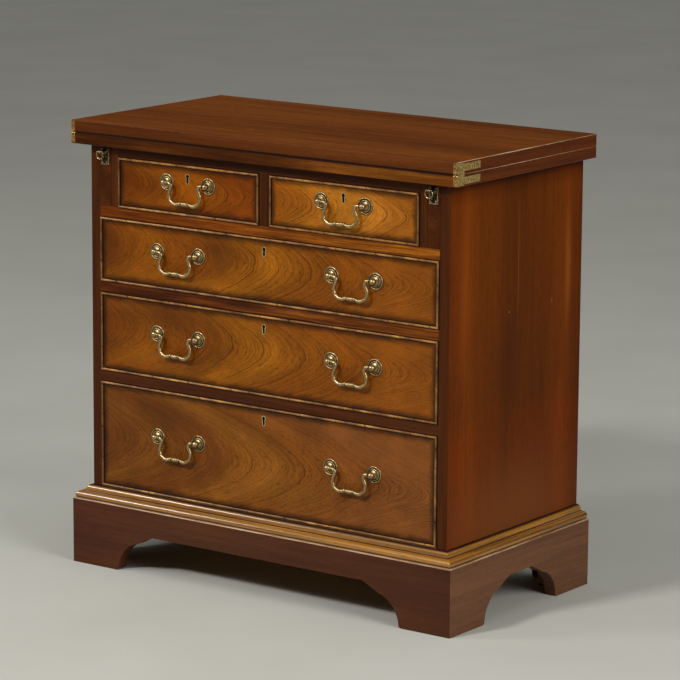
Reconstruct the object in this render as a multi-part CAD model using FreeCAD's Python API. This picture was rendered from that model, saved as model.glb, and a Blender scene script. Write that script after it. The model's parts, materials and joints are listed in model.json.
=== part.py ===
import FreeCAD, Part
import math
import os

# Bachelors chest: a small chest with a fold-over top on two lopers, two short
# drawers over three long ones, cock-beaded fronts, swan-neck handles, a base
# moulding and a bracket plinth.
#
# Frame, in millimetres: +X to the right as the drawers are faced, +Y to the
# back, +Z up, origin on the floor under the middle of the chest.

V = FreeCAD.Vector

# ---- Case ------------------------------------------------------------------
CASE_WIDTH = 748.0
CASE_DEPTH = 395.0
SIDE_THICKNESS = 20.0
CASE_CORNER_ROUND = 2.0         # eased front arris of each case side
BOTTOM_THICKNESS = 23.5
BACK_THICKNESS = 12.0
BACK_PLANKS = 5
PLANK_GAP = 0.5
RAIL_THICKNESS = 18.5
RAIL_DEPTH = 70.0
REAR_RAIL_DEPTH = 50.0
DIVIDER_THICKNESS = 21.0
PARTITION_THICKNESS = 15.0
RUNNER_WIDTH = 38.0             # what a drawer side runs on, beyond its guide
KICKER_WIDTH = 28.0

# ---- Plinth and base moulding ----------------------------------------------
PLINTH_HEIGHT = 115.5
PLINTH_PROJECTION = 25.5        # plinth face beyond the case face
PLINTH_THICKNESS = 22.0
PLINTH_ARRIS = 1.8
APRON_HEIGHT = 69.0             # underside of the straight apron
FOOT_WIDTH = 101.5
FOOT_EASE = 5.0                 # rounding of a foot's lower inner corner
BRACKET_RUN = 35.0              # lower curve of a bracket
BRACKET_RISE = 51.0
BRACKET_NIB = 8.0               # short step between the two curves
NIB_RISE = 2.0
UPPER_RUN = 35.0                # upper, flatter curve
UPPER_SAG = 0.8
CUSP_RISE = 1.2
BACK_BRACKET_THICKNESS = 18.0
CORNER_BLOCK = 42.0
BLOCK_LIFT = 2.0                # corner blocks stop short of the floor
GLUE_BLOCK = 20.0
MOULDING_HEIGHT = 22.5
OVOLO_START = 1.5               # flat on top, before the upper round
OVOLO_SIZE = 7.3
QUIRK_DEPTH = 1.3
TORUS_CENTRE = 15.5             # out from the case
TORUS_LEVEL = 4.9               # above the plinth
TORUS_RADIUS = 7.0
UNDERCUT_HEIGHT = 1.6
UNDERCUT_DEPTH = 2.2

# ---- Top -------------------------------------------------------------------
TOP_SIDE_OVERHANG = 26.0        # beyond the case side
TOP_OVERHANG = 20.8             # beyond the case front
LEAF_THICKNESS = 20.2
LEAF_GAP = 0.3
LEAF_ARRIS = 1.5
MEETING_ARRIS = 0.8             # side and back edges where the leaves meet
LEAF_CORNER = 2.0
HINGE_SETBACK = 3.0             # pin centre from the edge and from the face
ROLL_MARGIN = 0.3               # how far the rolling edges are rounded past it

# ---- Card-table hinges -----------------------------------------------------
HINGE_HEAD_LENGTH = 20.0
HINGE_HEAD_MARGIN = 1.7         # leaf left over the head
HINGE_THICKNESS = 8.0
HINGE_LEG_LENGTH = 45.5
HINGE_LEG_WIDTH = 12.0
HINGE_LEG_SETBACK = 4.6         # leg's edge from the meeting face
HINGE_LEG_THICKNESS = 4.5
HINGE_PIN_RADIUS = 1.2
PIN_CLEARANCE = 0.05
LINK_END_RADIUS = 2.3
LINK_THICKNESS = 2.6
LINK_CLEARANCE = 0.2
SCREW_HEAD_RADIUS = 3.1
SCREW_HEAD_DEPTH = 2.0
SCREW_RADIUS = 1.5
SCREW_LENGTH = 18.0
SCREW_SLOT = 0.7
SCREW_FIRST = 10.0              # first screw behind the head
SCREW_SPACING = 24.0

# ---- Drawer openings, from the top down -------------------------------------
SHORT_HEIGHT = 88.0
UPPER_HEIGHT = 113.0
MIDDLE_HEIGHT = 138.5
LOWER_HEIGHT = 187.5
FRONT_CLEARANCE = 0.75          # around a drawer front
RUN_CLEARANCE = 0.25            # under a drawer side

# ---- Lopers ----------------------------------------------------------------
LOPER_POCKET = 25.0
LOPER_CLEARANCE = 0.4
LOPER_HEIGHT_CLEARANCE = 0.3
LOPER_BACK_GAP = 5.0            # behind the loper when it is in
LOPER_TRAVEL = 250.0
PEG_RADIUS = 4.0
PEG_SETBACK = 40.0              # peg's axis behind the case front
PEG_REACH = 6.5                 # into the loper's groove
PEG_EMBED = 12.0
GROOVE_CLEARANCE = 0.6

# ---- Drawers ---------------------------------------------------------------
FRONT_THICKNESS = 22.0
DOVETAIL_LAP = 10.0             # wood left in front of the tails
DRAWER_SIDE = 10.0
DRAWER_BACK = 10.0
DRAWER_BACK_GAP = 11.0          # behind a closed drawer
SIDE_TOP_DROP = 4.0             # side's top edge under the opening's top
BACK_TOP_DROP = 6.0             # back's top edge under the sides'
DRAWER_BOTTOM = 7.0
BOTTOM_RAISE = 9.0              # underside of the bottom above the side's edge
BOTTOM_GROOVE = 4.0
TAIL_PITCH = 26.0
TAIL_SLOPE = 1.0 / 7.0
PIN_WIDTH = 6.0                 # narrow pin between two tails, at its thin end
BEAD_WIDTH = 3.8
BEAD_DEPTH = 8.0
BEAD_PROUD = 2.7
STOP_LENGTH = 32.0
STOP_DEPTH = 14.0
STOP_HEIGHT = 5.0
STOP_INSET = 70.0               # stop's middle from the drawer's side
STOP_CLEARANCE = 0.3

# ---- Locks -----------------------------------------------------------------
KEYHOLE_DROP = 18.7             # round of the keyhole under the front's top
KEYHOLE_RADIUS = 3.1
KEYHOLE_SLOT = 4.0
KEYHOLE_TAIL = 10.3             # round's centre to the slot's lowest centre
ESCUTCHEON_WALL = 1.3
ESCUTCHEON_PROUD = 0.3
LOCK_PLATE_WIDTH = 62.0
LOCK_PLATE_HEIGHT = 42.0
LOCK_PLATE_THICKNESS = 1.6
LOCK_CASE_WIDTH = 42.0
LOCK_CASE_HEIGHT = 37.0
LOCK_SETBACK = 11.0             # case cover behind the front's face
LOCK_WALL = 1.2
DRILL_PIN_RADIUS = 1.3
BOLT_WIDTH = 18.0
BOLT_THICKNESS = 4.0
BOLT_HEIGHT = 14.0
BOLT_THROW = 6.5
BOLT_CLEARANCE = 0.25
MORTISE_CLEARANCE = 1.0

# ---- Swan-neck handles ------------------------------------------------------
HANDLE_SPACING = 89.0           # post to post
SHORT_HANDLE_RISE = 11.5        # posts above the middle of the drawer
UPPER_HANDLE_RISE = 9.0
MIDDLE_HANDLE_RISE = 10.0
LOWER_HANDLE_RISE = 11.0
LONG_HANDLE_OFFSET = 184.0      # handle's middle from the chest's middle
ROSE_RADIUS = 14.6
ROSE_RIM_WIDTH = 2.8
ROSE_RIM_RISE = 2.0             # crest of the rim above the drawer face
ROSE_GROOVE_WIDTH = 1.1
ROSE_GROOVE_RISE = 0.8          # bottom of the groove inside the rim
ROSE_RING_WIDTH = 2.7
ROSE_RING_RISE = 2.8            # crest of the inner ring
ROSE_DISH_RISE = 2.1            # dish inside the inner ring
ROSE_TOP = 4.4                  # where the post's neck leaves the rose
ROSE_BOSS = 4.0                 # width of the sloping boss round the neck
POST_STANDOFF = 9.2             # ball's centre from the drawer face
POST_BALL = 5.6
POST_NECK = 3.6
SHANK_RADIUS = 2.4
SHANK_CLEARANCE = 0.1
SHANK_END = 1.5                 # beyond the nut
NUT_RADIUS = 5.5
NUT_THICKNESS = 3.5
BAIL_PIN_RADIUS = 1.9
BAIL_PIN_CLEARANCE = 0.08
BAIL_PIN_LENGTH = 3.8           # inside the ball, from its centre outwards
BAIL_RADIUS = 3.0
BAIL_COLLAR_RADIUS = 3.8
BAIL_COLLAR_WIDTH = 2.0
BAIL_COLLAR_GAP = 0.4
BAIL_TOP_BEND = 5.0
BAIL_DROP = 33.6                # post axis to the grip's axis
BAIL_BENDS = (                  # out from the neck, down from the axis, bend radius
    (0.8, 8.0, 14.0),
    (5.5, 18.7, 9.0),
    (3.2, 29.4, 9.0),
    (-7.8, 36.2, 12.0),
)
GRIP_LENGTH = 15.5
GRIP_RADIUS = 4.0
GRIP_COLLAR_RADIUS = 4.6
GRIP_COLLAR_WIDTH = 1.8

# ---- Loper ring pulls -------------------------------------------------------
PULL_PLATE_WIDTH = 17.5
PULL_PLATE_HEIGHT = 29.0
PULL_PLATE_THICKNESS = 1.8
PULL_PLATE_DROP = 5.2           # plate's top under the loper's top
PULL_NECK = 2.2
PULL_BALL = 3.0
PULL_STANDOFF = 15.0
PULL_TANG_RADIUS = 2.0
PULL_TANG_LENGTH = 20.0
PULL_PIVOT_RISE = 9.5           # pivot above the plate's middle
RING_RADIUS = 7.2
RING_WIRE = 1.3
RING_PIN_RADIUS = 1.1
RING_GAP = 0.4                  # ball to ring wire

# ---- Places worked out from the sizes ----------------------------------------
CASE_FRONT = (PLINTH_PROJECTION - CASE_DEPTH) / 2.0
CASE_BACK = CASE_FRONT + CASE_DEPTH
HALF_CASE = CASE_WIDTH / 2.0
HALF_INSIDE = HALF_CASE - SIDE_THICKNESS
INSIDE_BACK = CASE_BACK - BACK_THICKNESS
CASE_FLOOR = PLINTH_HEIGHT + BOTTOM_THICKNESS
LOWER_ROW = (CASE_FLOOR, CASE_FLOOR + LOWER_HEIGHT)
MIDDLE_ROW = (LOWER_ROW[1] + RAIL_THICKNESS, LOWER_ROW[1] + RAIL_THICKNESS + MIDDLE_HEIGHT)
UPPER_ROW = (MIDDLE_ROW[1] + RAIL_THICKNESS, MIDDLE_ROW[1] + RAIL_THICKNESS + UPPER_HEIGHT)
SHORT_ROW = (UPPER_ROW[1] + RAIL_THICKNESS, UPPER_ROW[1] + RAIL_THICKNESS + SHORT_HEIGHT)
CASE_TOP = SHORT_ROW[1] + RAIL_THICKNESS
FIXED_LEAF_TOP = CASE_TOP + LEAF_THICKNESS
FOLDING_LEAF_BOTTOM = FIXED_LEAF_TOP + LEAF_GAP
MEETING_LEVEL = FIXED_LEAF_TOP + LEAF_GAP / 2.0
TOP_FRONT = CASE_FRONT - TOP_OVERHANG
TOP_WIDTH = CASE_WIDTH + 2.0 * TOP_SIDE_OVERHANG
PARTITION_OUTSIDE = HALF_INSIDE - LOPER_POCKET
PARTITION_INSIDE = PARTITION_OUTSIDE - PARTITION_THICKNESS
HALF_DIVIDER = DIVIDER_THICKNESS / 2.0
HALF_PLINTH = HALF_CASE + PLINTH_PROJECTION
PLINTH_FRONT = CASE_FRONT - PLINTH_PROJECTION
PIN_LINE_Y = TOP_FRONT + HINGE_SETBACK
LOWER_PIN_Z = FIXED_LEAF_TOP - HINGE_SETBACK
UPPER_PIN_Z = FOLDING_LEAF_BOTTOM + HINGE_SETBACK
ROLL_RADIUS = HINGE_SETBACK + ROLL_MARGIN
FRONT_BACK = CASE_FRONT + FRONT_THICKNESS
DRAWER_END = INSIDE_BACK - DRAWER_BACK_GAP
LOPER_MIDDLE = HALF_INSIDE - LOPER_POCKET / 2.0
LOPER_TOP = CASE_TOP - LOPER_HEIGHT_CLEARANCE
PULL_PIVOT_Z = LOPER_TOP - PULL_PLATE_DROP - PULL_PLATE_HEIGHT / 2.0 + PULL_PIVOT_RISE
PULL_PIVOT_Y = CASE_FRONT - PULL_STANDOFF
BAIL_AXIS_Y = CASE_FRONT - POST_STANDOFF


# ---- Shape helpers -----------------------------------------------------------
def block(x_range, y_range, z_range):
    """Box between three (low, high) pairs."""
    (x0, x1), (y0, y1), (z0, z1) = x_range, y_range, z_range
    return Part.makeBox(x1 - x0, y1 - y0, z1 - z0, V(x0, y0, z0))


def rod(start, direction, length, radius):
    """Cylinder from its first centre along a direction."""
    return Part.makeCylinder(radius, length, start, direction)


def fused(solids):
    """One solid of several that overlap or meet."""
    result = solids[0].fuse(solids[1:])
    return result.removeSplitter()


def without(solid, cutters):
    """Solid with the cutters' space taken out."""
    return solid.cut(cutters) if cutters else solid


def mirrored(shape):
    """The same shape on the other side of the chest."""
    return shape.mirror(V(0, 0, 0), V(1, 0, 0))


def both_sides(shape):
    """A right-hand shape and its left-hand twin."""
    return [shape, mirrored(shape)]


def outline(start, *steps):
    """Plane face; a step is the next corner, or (a point on an arc, its end)."""
    edges = []
    here = start
    for step in steps + (start,):
        if isinstance(step, tuple):
            middle, end = step
            edges.append(Part.Arc(here, middle, end).toShape())
        else:
            end = step
            if not here.isEqual(end, 1e-6):
                edges.append(Part.makeLine(here, end))
        here = end
    return Part.Face(Part.Wire(edges))


def rounded_wire(corners, radii, closed=True):
    """Straight runs with a tangent arc of each corner's radius; 0 keeps it sharp."""
    count = len(corners)
    trims = []
    for i, (corner, radius) in enumerate(zip(corners, radii)):
        if radius == 0 or (not closed and i in (0, count - 1)):
            trims.append((corner, None, corner))
            continue
        back = (corners[i - 1] - corner).normalize()
        ahead = (corners[(i + 1) % count] - corner).normalize()
        half = back.getAngle(ahead) / 2.0
        bisector = (back + ahead).normalize()
        reach = radius / math.tan(half)
        middle = corner + bisector * (radius / math.sin(half) - radius)
        trims.append((corner + back * reach, middle, corner + ahead * reach))
    edges = []
    for i, (start, middle, end) in enumerate(trims):
        if middle is not None:
            edges.append(Part.Arc(start, middle, end).toShape())
        if i + 1 < count or closed:
            following = trims[(i + 1) % count][0]
            if not end.isEqual(following, 1e-6):
                edges.append(Part.makeLine(end, following))
    return Part.Wire(edges)


def rounded_face(corners, radii):
    """Plane face inside a closed rounded wire."""
    return Part.Face(rounded_wire(corners, radii))


def turned(profile, centre, axis):
    """Full turn of a plane profile about an axis."""
    return profile.revolve(centre, axis, 360.0)


def ball_post(ball, radius, neck, foot_y, shank, end_y):
    """Turned post along Y: a ball on a neck, then a thinner shank from foot to end."""
    x, y, z = ball
    join = y + math.sqrt(radius ** 2 - neck ** 2)
    profile = outline(V(x, y - radius, z), (V(x + radius, y, z), V(x + neck, join, z)),
                      V(x + neck, foot_y, z), V(x + shank, foot_y, z), V(x + shank, end_y, z),
                      V(x, end_y, z))
    return turned(profile, ball, V(0, 1, 0))


def save(node, solids):
    """Write one node's solids to its STEP file."""
    shape = solids[0] if len(solids) == 1 else Part.makeCompound(solids)
    shape.exportStep(os.path.join("parts", node + ".step"))


# ---- Case -------------------------------------------------------------------
def case_side():
    """Right case side, with its outer front arris eased."""
    corners = [V(HALF_INSIDE, CASE_FRONT, PLINTH_HEIGHT), V(HALF_CASE, CASE_FRONT, PLINTH_HEIGHT),
               V(HALF_CASE, CASE_BACK, PLINTH_HEIGHT), V(HALF_INSIDE, CASE_BACK, PLINTH_HEIGHT)]
    plan = rounded_face(corners, (0, CASE_CORNER_ROUND, 0, 0))
    return plan.extrude(V(0, 0, CASE_TOP - PLINTH_HEIGHT))


def case_back():
    """Upright planks between the case sides."""
    pitch = (2.0 * HALF_INSIDE + PLANK_GAP) / BACK_PLANKS
    planks = []
    for i in range(BACK_PLANKS):
        left = -HALF_INSIDE + i * pitch
        planks.append(block((left, left + pitch - PLANK_GAP), (INSIDE_BACK, CASE_BACK),
                            (PLINTH_HEIGHT, CASE_TOP)))
    return planks


def bolt_mortise(x, level):
    """Pocket in the underside of the rail above a lock at x."""
    half = BOLT_WIDTH / 2.0 + MORTISE_CLEARANCE
    near, far = bolt_depths()
    return block((x - half, x + half), (near - MORTISE_CLEARANCE, far + MORTISE_CLEARANCE),
                 (level - 1.0, level + BOLT_THROW + MORTISE_CLEARANCE))


def rail(half_width, level, lock_places):
    """Front rail standing on a level, pocketed over the locks below it."""
    board = block((-half_width, half_width), (CASE_FRONT, CASE_FRONT + RAIL_DEPTH),
                  (level, level + RAIL_THICKNESS))
    return without(board, [bolt_mortise(x, level) for x in lock_places])


def drawer_rails():
    """Rails between the rows, and the front and rear rails under the top."""
    return [
        rail(HALF_INSIDE, LOWER_ROW[1], [0.0]),
        rail(HALF_INSIDE, MIDDLE_ROW[1], [0.0]),
        rail(HALF_INSIDE, UPPER_ROW[1], [0.0]),
        rail(PARTITION_INSIDE, SHORT_ROW[1], [-short_middle(), short_middle()]),
        block((-PARTITION_INSIDE, PARTITION_INSIDE), (INSIDE_BACK - REAR_RAIL_DEPTH, INSIDE_BACK),
              (SHORT_ROW[1], CASE_TOP)),
    ]


def short_middle():
    """Distance of a short drawer's middle from the chest's middle."""
    return (HALF_DIVIDER + PARTITION_INSIDE) / 2.0


def drawer_runners():
    """Runners behind the rails, kickers over the short drawers, drawer stops."""
    along = (CASE_FRONT + RAIL_DEPTH, INSIDE_BACK)
    pieces = []
    for row in (LOWER_ROW, MIDDLE_ROW):
        level = (row[1], row[1] + RAIL_THICKNESS)
        pieces += both_sides(block((HALF_INSIDE - RUNNER_WIDTH, HALF_INSIDE), along, level))
    level = (UPPER_ROW[1], SHORT_ROW[0])
    pieces += both_sides(block((PARTITION_INSIDE - RUNNER_WIDTH, HALF_INSIDE), along, level))
    middle = HALF_DIVIDER + RUNNER_WIDTH
    pieces.append(block((-middle, middle), along, level))
    kicker_run = (CASE_FRONT + RAIL_DEPTH, INSIDE_BACK - REAR_RAIL_DEPTH)
    kicker_level = (SHORT_ROW[1], CASE_TOP)
    pieces += both_sides(block((PARTITION_INSIDE - KICKER_WIDTH, PARTITION_INSIDE), kicker_run,
                               kicker_level))
    pieces.append(block((-HALF_DIVIDER - KICKER_WIDTH, HALF_DIVIDER + KICKER_WIDTH), kicker_run,
                        kicker_level))
    for row in (LOWER_ROW, MIDDLE_ROW, UPPER_ROW):
        pieces += both_sides(drawer_stop(HALF_INSIDE - STOP_INSET, row[0]))
    for x in (HALF_DIVIDER + STOP_INSET, PARTITION_INSIDE - STOP_INSET):
        pieces += both_sides(drawer_stop(x, SHORT_ROW[0]))
    return pieces


def drawer_stop(x, level):
    """Small block that the back of a drawer front meets."""
    near = FRONT_BACK + STOP_CLEARANCE
    return block((x - STOP_LENGTH / 2.0, x + STOP_LENGTH / 2.0), (near, near + STOP_DEPTH),
                 (level, level + STOP_HEIGHT))


def loper_peg():
    """Peg in the right partition that stops the loper at both ends of its travel."""
    start = V(PARTITION_OUTSIDE - PEG_EMBED, CASE_FRONT + PEG_SETBACK, loper_groove_level())
    return rod(start, V(1, 0, 0), PEG_EMBED + PEG_REACH, PEG_RADIUS)


def loper_groove_level():
    """Height of the peg and groove, half way up the loper."""
    return (SHORT_ROW[0] + CASE_TOP) / 2.0


def partitions():
    """Divider between the short drawers, loper partitions and their pegs."""
    depth = (CASE_FRONT, INSIDE_BACK)
    divider = block((-HALF_DIVIDER, HALF_DIVIDER), depth, SHORT_ROW)
    peg = loper_peg()
    partition = block((PARTITION_INSIDE, PARTITION_OUTSIDE), depth, (SHORT_ROW[0], CASE_TOP))
    return [divider] + both_sides(partition.cut(peg)) + both_sides(peg)


# ---- Plinth and moulding ------------------------------------------------------
def mitred_run(section):
    """Front, right and left lengths of a section of (distance out, height) steps.

    The section is a start and steps as outline takes them, and its lengths are
    mitred at the front corners of the case.
    """
    reach = PLINTH_PROJECTION + 1.0

    def placed(step, place):
        if isinstance(step[0], tuple):
            return tuple(place(*point) for point in step)
        return place(*step)

    def front_place(out, up):
        return V(-HALF_CASE - reach, CASE_FRONT - out, up)

    def side_place(out, up):
        return V(HALF_CASE + out, CASE_FRONT - reach, up)

    low = -1.0
    high = PLINTH_HEIGHT + MOULDING_HEIGHT + 1.0
    front = outline(*[placed(step, front_place) for step in section])
    front = front.extrude(V(2.0 * (HALF_CASE + reach), 0, 0))
    front_wedge = outline(V(-HALF_CASE - reach, CASE_FRONT - reach, low),
                          V(HALF_CASE + reach, CASE_FRONT - reach, low),
                          V(0, CASE_FRONT + HALF_CASE, low))
    side = outline(*[placed(step, side_place) for step in section])
    side = side.extrude(V(0, CASE_DEPTH + reach, 0))
    side_wedge = outline(V(HALF_CASE + reach, CASE_FRONT - reach, low),
                         V(HALF_CASE + reach, CASE_BACK, low),
                         V(HALF_CASE - CORNER_BLOCK, CASE_BACK, low),
                         V(HALF_CASE - CORNER_BLOCK, CASE_FRONT + CORNER_BLOCK, low))
    height = V(0, 0, high - low)
    return [front.common(front_wedge.extrude(height))] + both_sides(
        side.common(side_wedge.extrude(height)))


def base_moulding():
    """Ovolo over a torus, mitred round the foot of the case."""
    base = PLINTH_HEIGHT
    top = base + MOULDING_HEIGHT
    ovolo_end = OVOLO_START + OVOLO_SIZE
    ovolo_foot = top - OVOLO_SIZE
    bulge = OVOLO_SIZE * math.sqrt(0.5)
    torus = base + TORUS_LEVEL
    start = math.radians(112.0)
    end = math.asin((UNDERCUT_HEIGHT - TORUS_LEVEL) / TORUS_RADIUS)
    middle = (start + end) / 2.0

    def on_torus(angle):
        return (TORUS_CENTRE + TORUS_RADIUS * math.cos(angle), torus + TORUS_RADIUS * math.sin(angle))

    undercut = on_torus(end)[0] - UNDERCUT_DEPTH
    return mitred_run([
        (0.0, base),
        (0.0, top),
        (OVOLO_START, top),
        ((OVOLO_START + bulge, ovolo_foot + bulge), (ovolo_end, ovolo_foot)),
        (ovolo_end, ovolo_foot - QUIRK_DEPTH),
        on_torus(start),
        (on_torus(middle), on_torus(end)),
        (undercut, base + UNDERCUT_HEIGHT),
        (undercut, base),
    ])


def bracket_points(foot_edge, inward):
    """Outline of one bracket from the floor to the apron, as (along, height)."""
    radius = (BRACKET_RUN ** 2 + BRACKET_RISE ** 2) / (2.0 * BRACKET_RUN)
    first = math.asin(FOOT_EASE / radius)
    lower_start = (radius * (1.0 - math.cos(first)), FOOT_EASE)
    ease = FOOT_EASE * (1.0 - math.sqrt(0.5))
    half = (first + math.asin(BRACKET_RISE / radius)) / 2.0
    lower_middle = (radius * (1.0 - math.cos(half)), radius * math.sin(half))
    nib_start = (BRACKET_RUN + BRACKET_NIB, BRACKET_RISE + NIB_RISE)
    upper_end = (nib_start[0] + UPPER_RUN, APRON_HEIGHT + CUSP_RISE)
    chord = math.hypot(upper_end[0] - nib_start[0], upper_end[1] - nib_start[1])
    lean = ((nib_start[1] - upper_end[1]) / chord, (upper_end[0] - nib_start[0]) / chord)
    upper_middle = ((nib_start[0] + upper_end[0]) / 2.0 + lean[0] * UPPER_SAG,
                    (nib_start[1] + upper_end[1]) / 2.0 + lean[1] * UPPER_SAG)
    points = [(lower_start[0] - FOOT_EASE, 0.0), (lower_start[0] - ease, ease), lower_start,
              lower_middle, (BRACKET_RUN, BRACKET_RISE), nib_start, upper_middle, upper_end,
              (upper_end[0], APRON_HEIGHT)]
    return [(foot_edge + inward * run, rise) for run, rise in points]


def arch(first_foot, last_foot, place):
    """Face of the space between two bracket feet; place maps (along, height) to a point."""
    first = bracket_points(first_foot, 1.0)
    last = bracket_points(last_foot, -1.0)
    left = [place(*point) for point in first]
    right = [place(*point) for point in last]
    return outline(left[0], (left[1], left[2]), (left[3], left[4]), left[5], (left[6], left[7]),
                   left[8], right[8], right[7], (right[6], right[5]), right[4],
                   (right[3], right[2]), (right[1], right[0]),
                   place(last[0][0], -1.0), place(first[0][0], -1.0))


def plinth_boards():
    """Mitred front and side boards, arched between their feet."""
    inner = PLINTH_PROJECTION - PLINTH_THICKNESS
    top = PLINTH_HEIGHT
    arris = PLINTH_ARRIS
    corner = arris * (1.0 - math.sqrt(0.5))
    front, right, left = mitred_run([
        (inner, 0.0),
        (inner, top),
        (PLINTH_PROJECTION - arris, top),
        ((PLINTH_PROJECTION - corner, top - corner), (PLINTH_PROJECTION, top - arris)),
        (PLINTH_PROJECTION, 0.0),
    ])
    edge = HALF_PLINTH - FOOT_WIDTH
    front_arch = arch(-edge, edge, lambda along, up: V(along, PLINTH_FRONT - 1.0, up))
    front = front.cut(front_arch.extrude(V(0, PLINTH_THICKNESS + 2.0, 0)))
    side_arch = arch(PLINTH_FRONT + FOOT_WIDTH, CASE_BACK - FOOT_WIDTH,
                     lambda along, up: V(HALF_CASE, along, up))
    side_arch = side_arch.extrude(V(PLINTH_PROJECTION + 1.0, 0, 0))
    return front, right.cut(side_arch), left.cut(mirrored(side_arch))


def back_bracket():
    """Right bracket under the back of the case."""
    outside = HALF_PLINTH - PLINTH_THICKNESS
    edge = HALF_PLINTH - FOOT_WIDTH
    y = CASE_BACK - BACK_BRACKET_THICKNESS
    points = [V(along, y, up) for along, up in bracket_points(edge, -1.0)[:5]]
    face = outline(V(outside, y, 0), points[0], (points[1], points[2]), (points[3], points[4]),
                   V(points[4].x, y, PLINTH_HEIGHT), V(outside, y, PLINTH_HEIGHT))
    return face.extrude(V(0, BACK_BRACKET_THICKNESS, 0))


def plinth_blocks():
    """Corner blocks that carry the case, and glue blocks along the boards."""
    outside = HALF_PLINTH - PLINTH_THICKNESS
    front = PLINTH_FRONT + PLINTH_THICKNESS
    back = CASE_BACK - BACK_BRACKET_THICKNESS
    upright = (BLOCK_LIFT, PLINTH_HEIGHT)
    strip = (PLINTH_HEIGHT - GLUE_BLOCK, PLINTH_HEIGHT)
    across = (outside - CORNER_BLOCK, outside)
    pieces = both_sides(block(across, (front, front + CORNER_BLOCK), upright))
    pieces += both_sides(block(across, (back - CORNER_BLOCK, back), upright))
    pieces += both_sides(block((outside - GLUE_BLOCK, outside),
                               (front + CORNER_BLOCK, back - CORNER_BLOCK), strip))
    pieces.append(block((-across[0], across[0]), (front, front + GLUE_BLOCK), strip))
    return pieces


# ---- Top and its hinges -------------------------------------------------------
def leaf_board(bottom, edge_radii):
    """Leaf with rounded edges; radii are front low, front high, back high, back low."""
    top = bottom + LEAF_THICKNESS
    half = TOP_WIDTH / 2.0
    front_low, front_high, back_high, back_low = edge_radii
    profile = rounded_face([V(-half, TOP_FRONT, bottom), V(-half, TOP_FRONT, top),
                            V(-half, CASE_BACK, top), V(-half, CASE_BACK, bottom)], edge_radii)
    across = rounded_face([V(-half, TOP_FRONT, bottom), V(-half, TOP_FRONT, top),
                           V(half, TOP_FRONT, top), V(half, TOP_FRONT, bottom)],
                          (back_low, back_high, back_high, back_low))
    plan = rounded_face([V(-half, TOP_FRONT, bottom), V(half, TOP_FRONT, bottom),
                         V(half, CASE_BACK, bottom), V(-half, CASE_BACK, bottom)],
                        (LEAF_CORNER,) * 4)
    board = profile.extrude(V(TOP_WIDTH, 0, 0))
    board = board.common(across.extrude(V(0, CASE_BACK - TOP_FRONT, 0)))
    return board.common(plan.extrude(V(0, 0, LEAF_THICKNESS)))


def hinge_blank():
    """Lower right hinge plate before its slot and bores: a head and a leg."""
    outside = TOP_WIDTH / 2.0
    inside = outside - HINGE_THICKNESS
    low = CASE_TOP + HINGE_HEAD_MARGIN
    head = rounded_face([V(inside, TOP_FRONT, low), V(inside, TOP_FRONT, FIXED_LEAF_TOP),
                         V(inside, TOP_FRONT + HINGE_HEAD_LENGTH, FIXED_LEAF_TOP),
                         V(inside, TOP_FRONT + HINGE_HEAD_LENGTH, low)], (0, ROLL_RADIUS, 0, 0))
    leg_top = FIXED_LEAF_TOP - HINGE_LEG_SETBACK
    leg = block((outside - HINGE_LEG_THICKNESS, outside),
                (TOP_FRONT + HINGE_HEAD_LENGTH, TOP_FRONT + HINGE_HEAD_LENGTH + HINGE_LEG_LENGTH),
                (leg_top - HINGE_LEG_WIDTH, leg_top))
    return fused([head.extrude(V(HINGE_THICKNESS, 0, 0)), leg])


def hinge_screws():
    """Countersunk screws through the leg of the lower right hinge plate."""
    outside = TOP_WIDTH / 2.0
    level = FIXED_LEAF_TOP - HINGE_LEG_SETBACK - HINGE_LEG_WIDTH / 2.0
    screws = []
    for i in range(2):
        y = TOP_FRONT + HINGE_HEAD_LENGTH + SCREW_FIRST + i * SCREW_SPACING
        head = Part.makeCone(SCREW_HEAD_RADIUS, SCREW_RADIUS, SCREW_HEAD_DEPTH, V(outside, y, level),
                             V(-1, 0, 0))
        shank = rod(V(outside - SCREW_HEAD_DEPTH, y, level), V(-1, 0, 0),
                    SCREW_LENGTH - SCREW_HEAD_DEPTH, SCREW_RADIUS)
        screws.append(fused([head, shank]))
    return screws


def screw_slots(screws):
    """Driver slots across the heads of the screws."""
    half, reach = SCREW_SLOT / 2.0, SCREW_HEAD_RADIUS + 1.0
    slots = []
    for screw in screws:
        box = screw.BoundBox
        y = (box.YMin + box.YMax) / 2.0
        z = (box.ZMin + box.ZMax) / 2.0
        slots.append(block((box.XMax - SCREW_SLOT, box.XMax + 1.0), (y - half, y + half),
                           (z - reach, z + reach)))
    return slots


def link_slot():
    """Space in the lower right hinge head where the link turns from upright to level."""
    middle = TOP_WIDTH / 2.0 - HINGE_THICKNESS / 2.0
    half = LINK_THICKNESS / 2.0 + LINK_CLEARANCE
    reach = LINK_END_RADIUS + LINK_CLEARANCE
    across = (middle - half, middle + half)
    beyond = FIXED_LEAF_TOP + 1.0
    before = TOP_FRONT - 1.0
    return fused([
        block(across, (before, PIN_LINE_Y), (LOWER_PIN_Z - reach, beyond)),
        block(across, (before, PIN_LINE_Y + reach), (LOWER_PIN_Z, beyond)),
        rod(V(middle - half, PIN_LINE_Y, LOWER_PIN_Z), V(1, 0, 0), 2.0 * half, reach),
    ])


def hinge_pin(level, radius):
    """Pin, or its bore, across the right hinge head at a level."""
    start = V(TOP_WIDTH / 2.0 - HINGE_THICKNESS + LINK_CLEARANCE, PIN_LINE_Y, level)
    return rod(start, V(1, 0, 0), HINGE_THICKNESS - 2.0 * LINK_CLEARANCE, radius)


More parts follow.
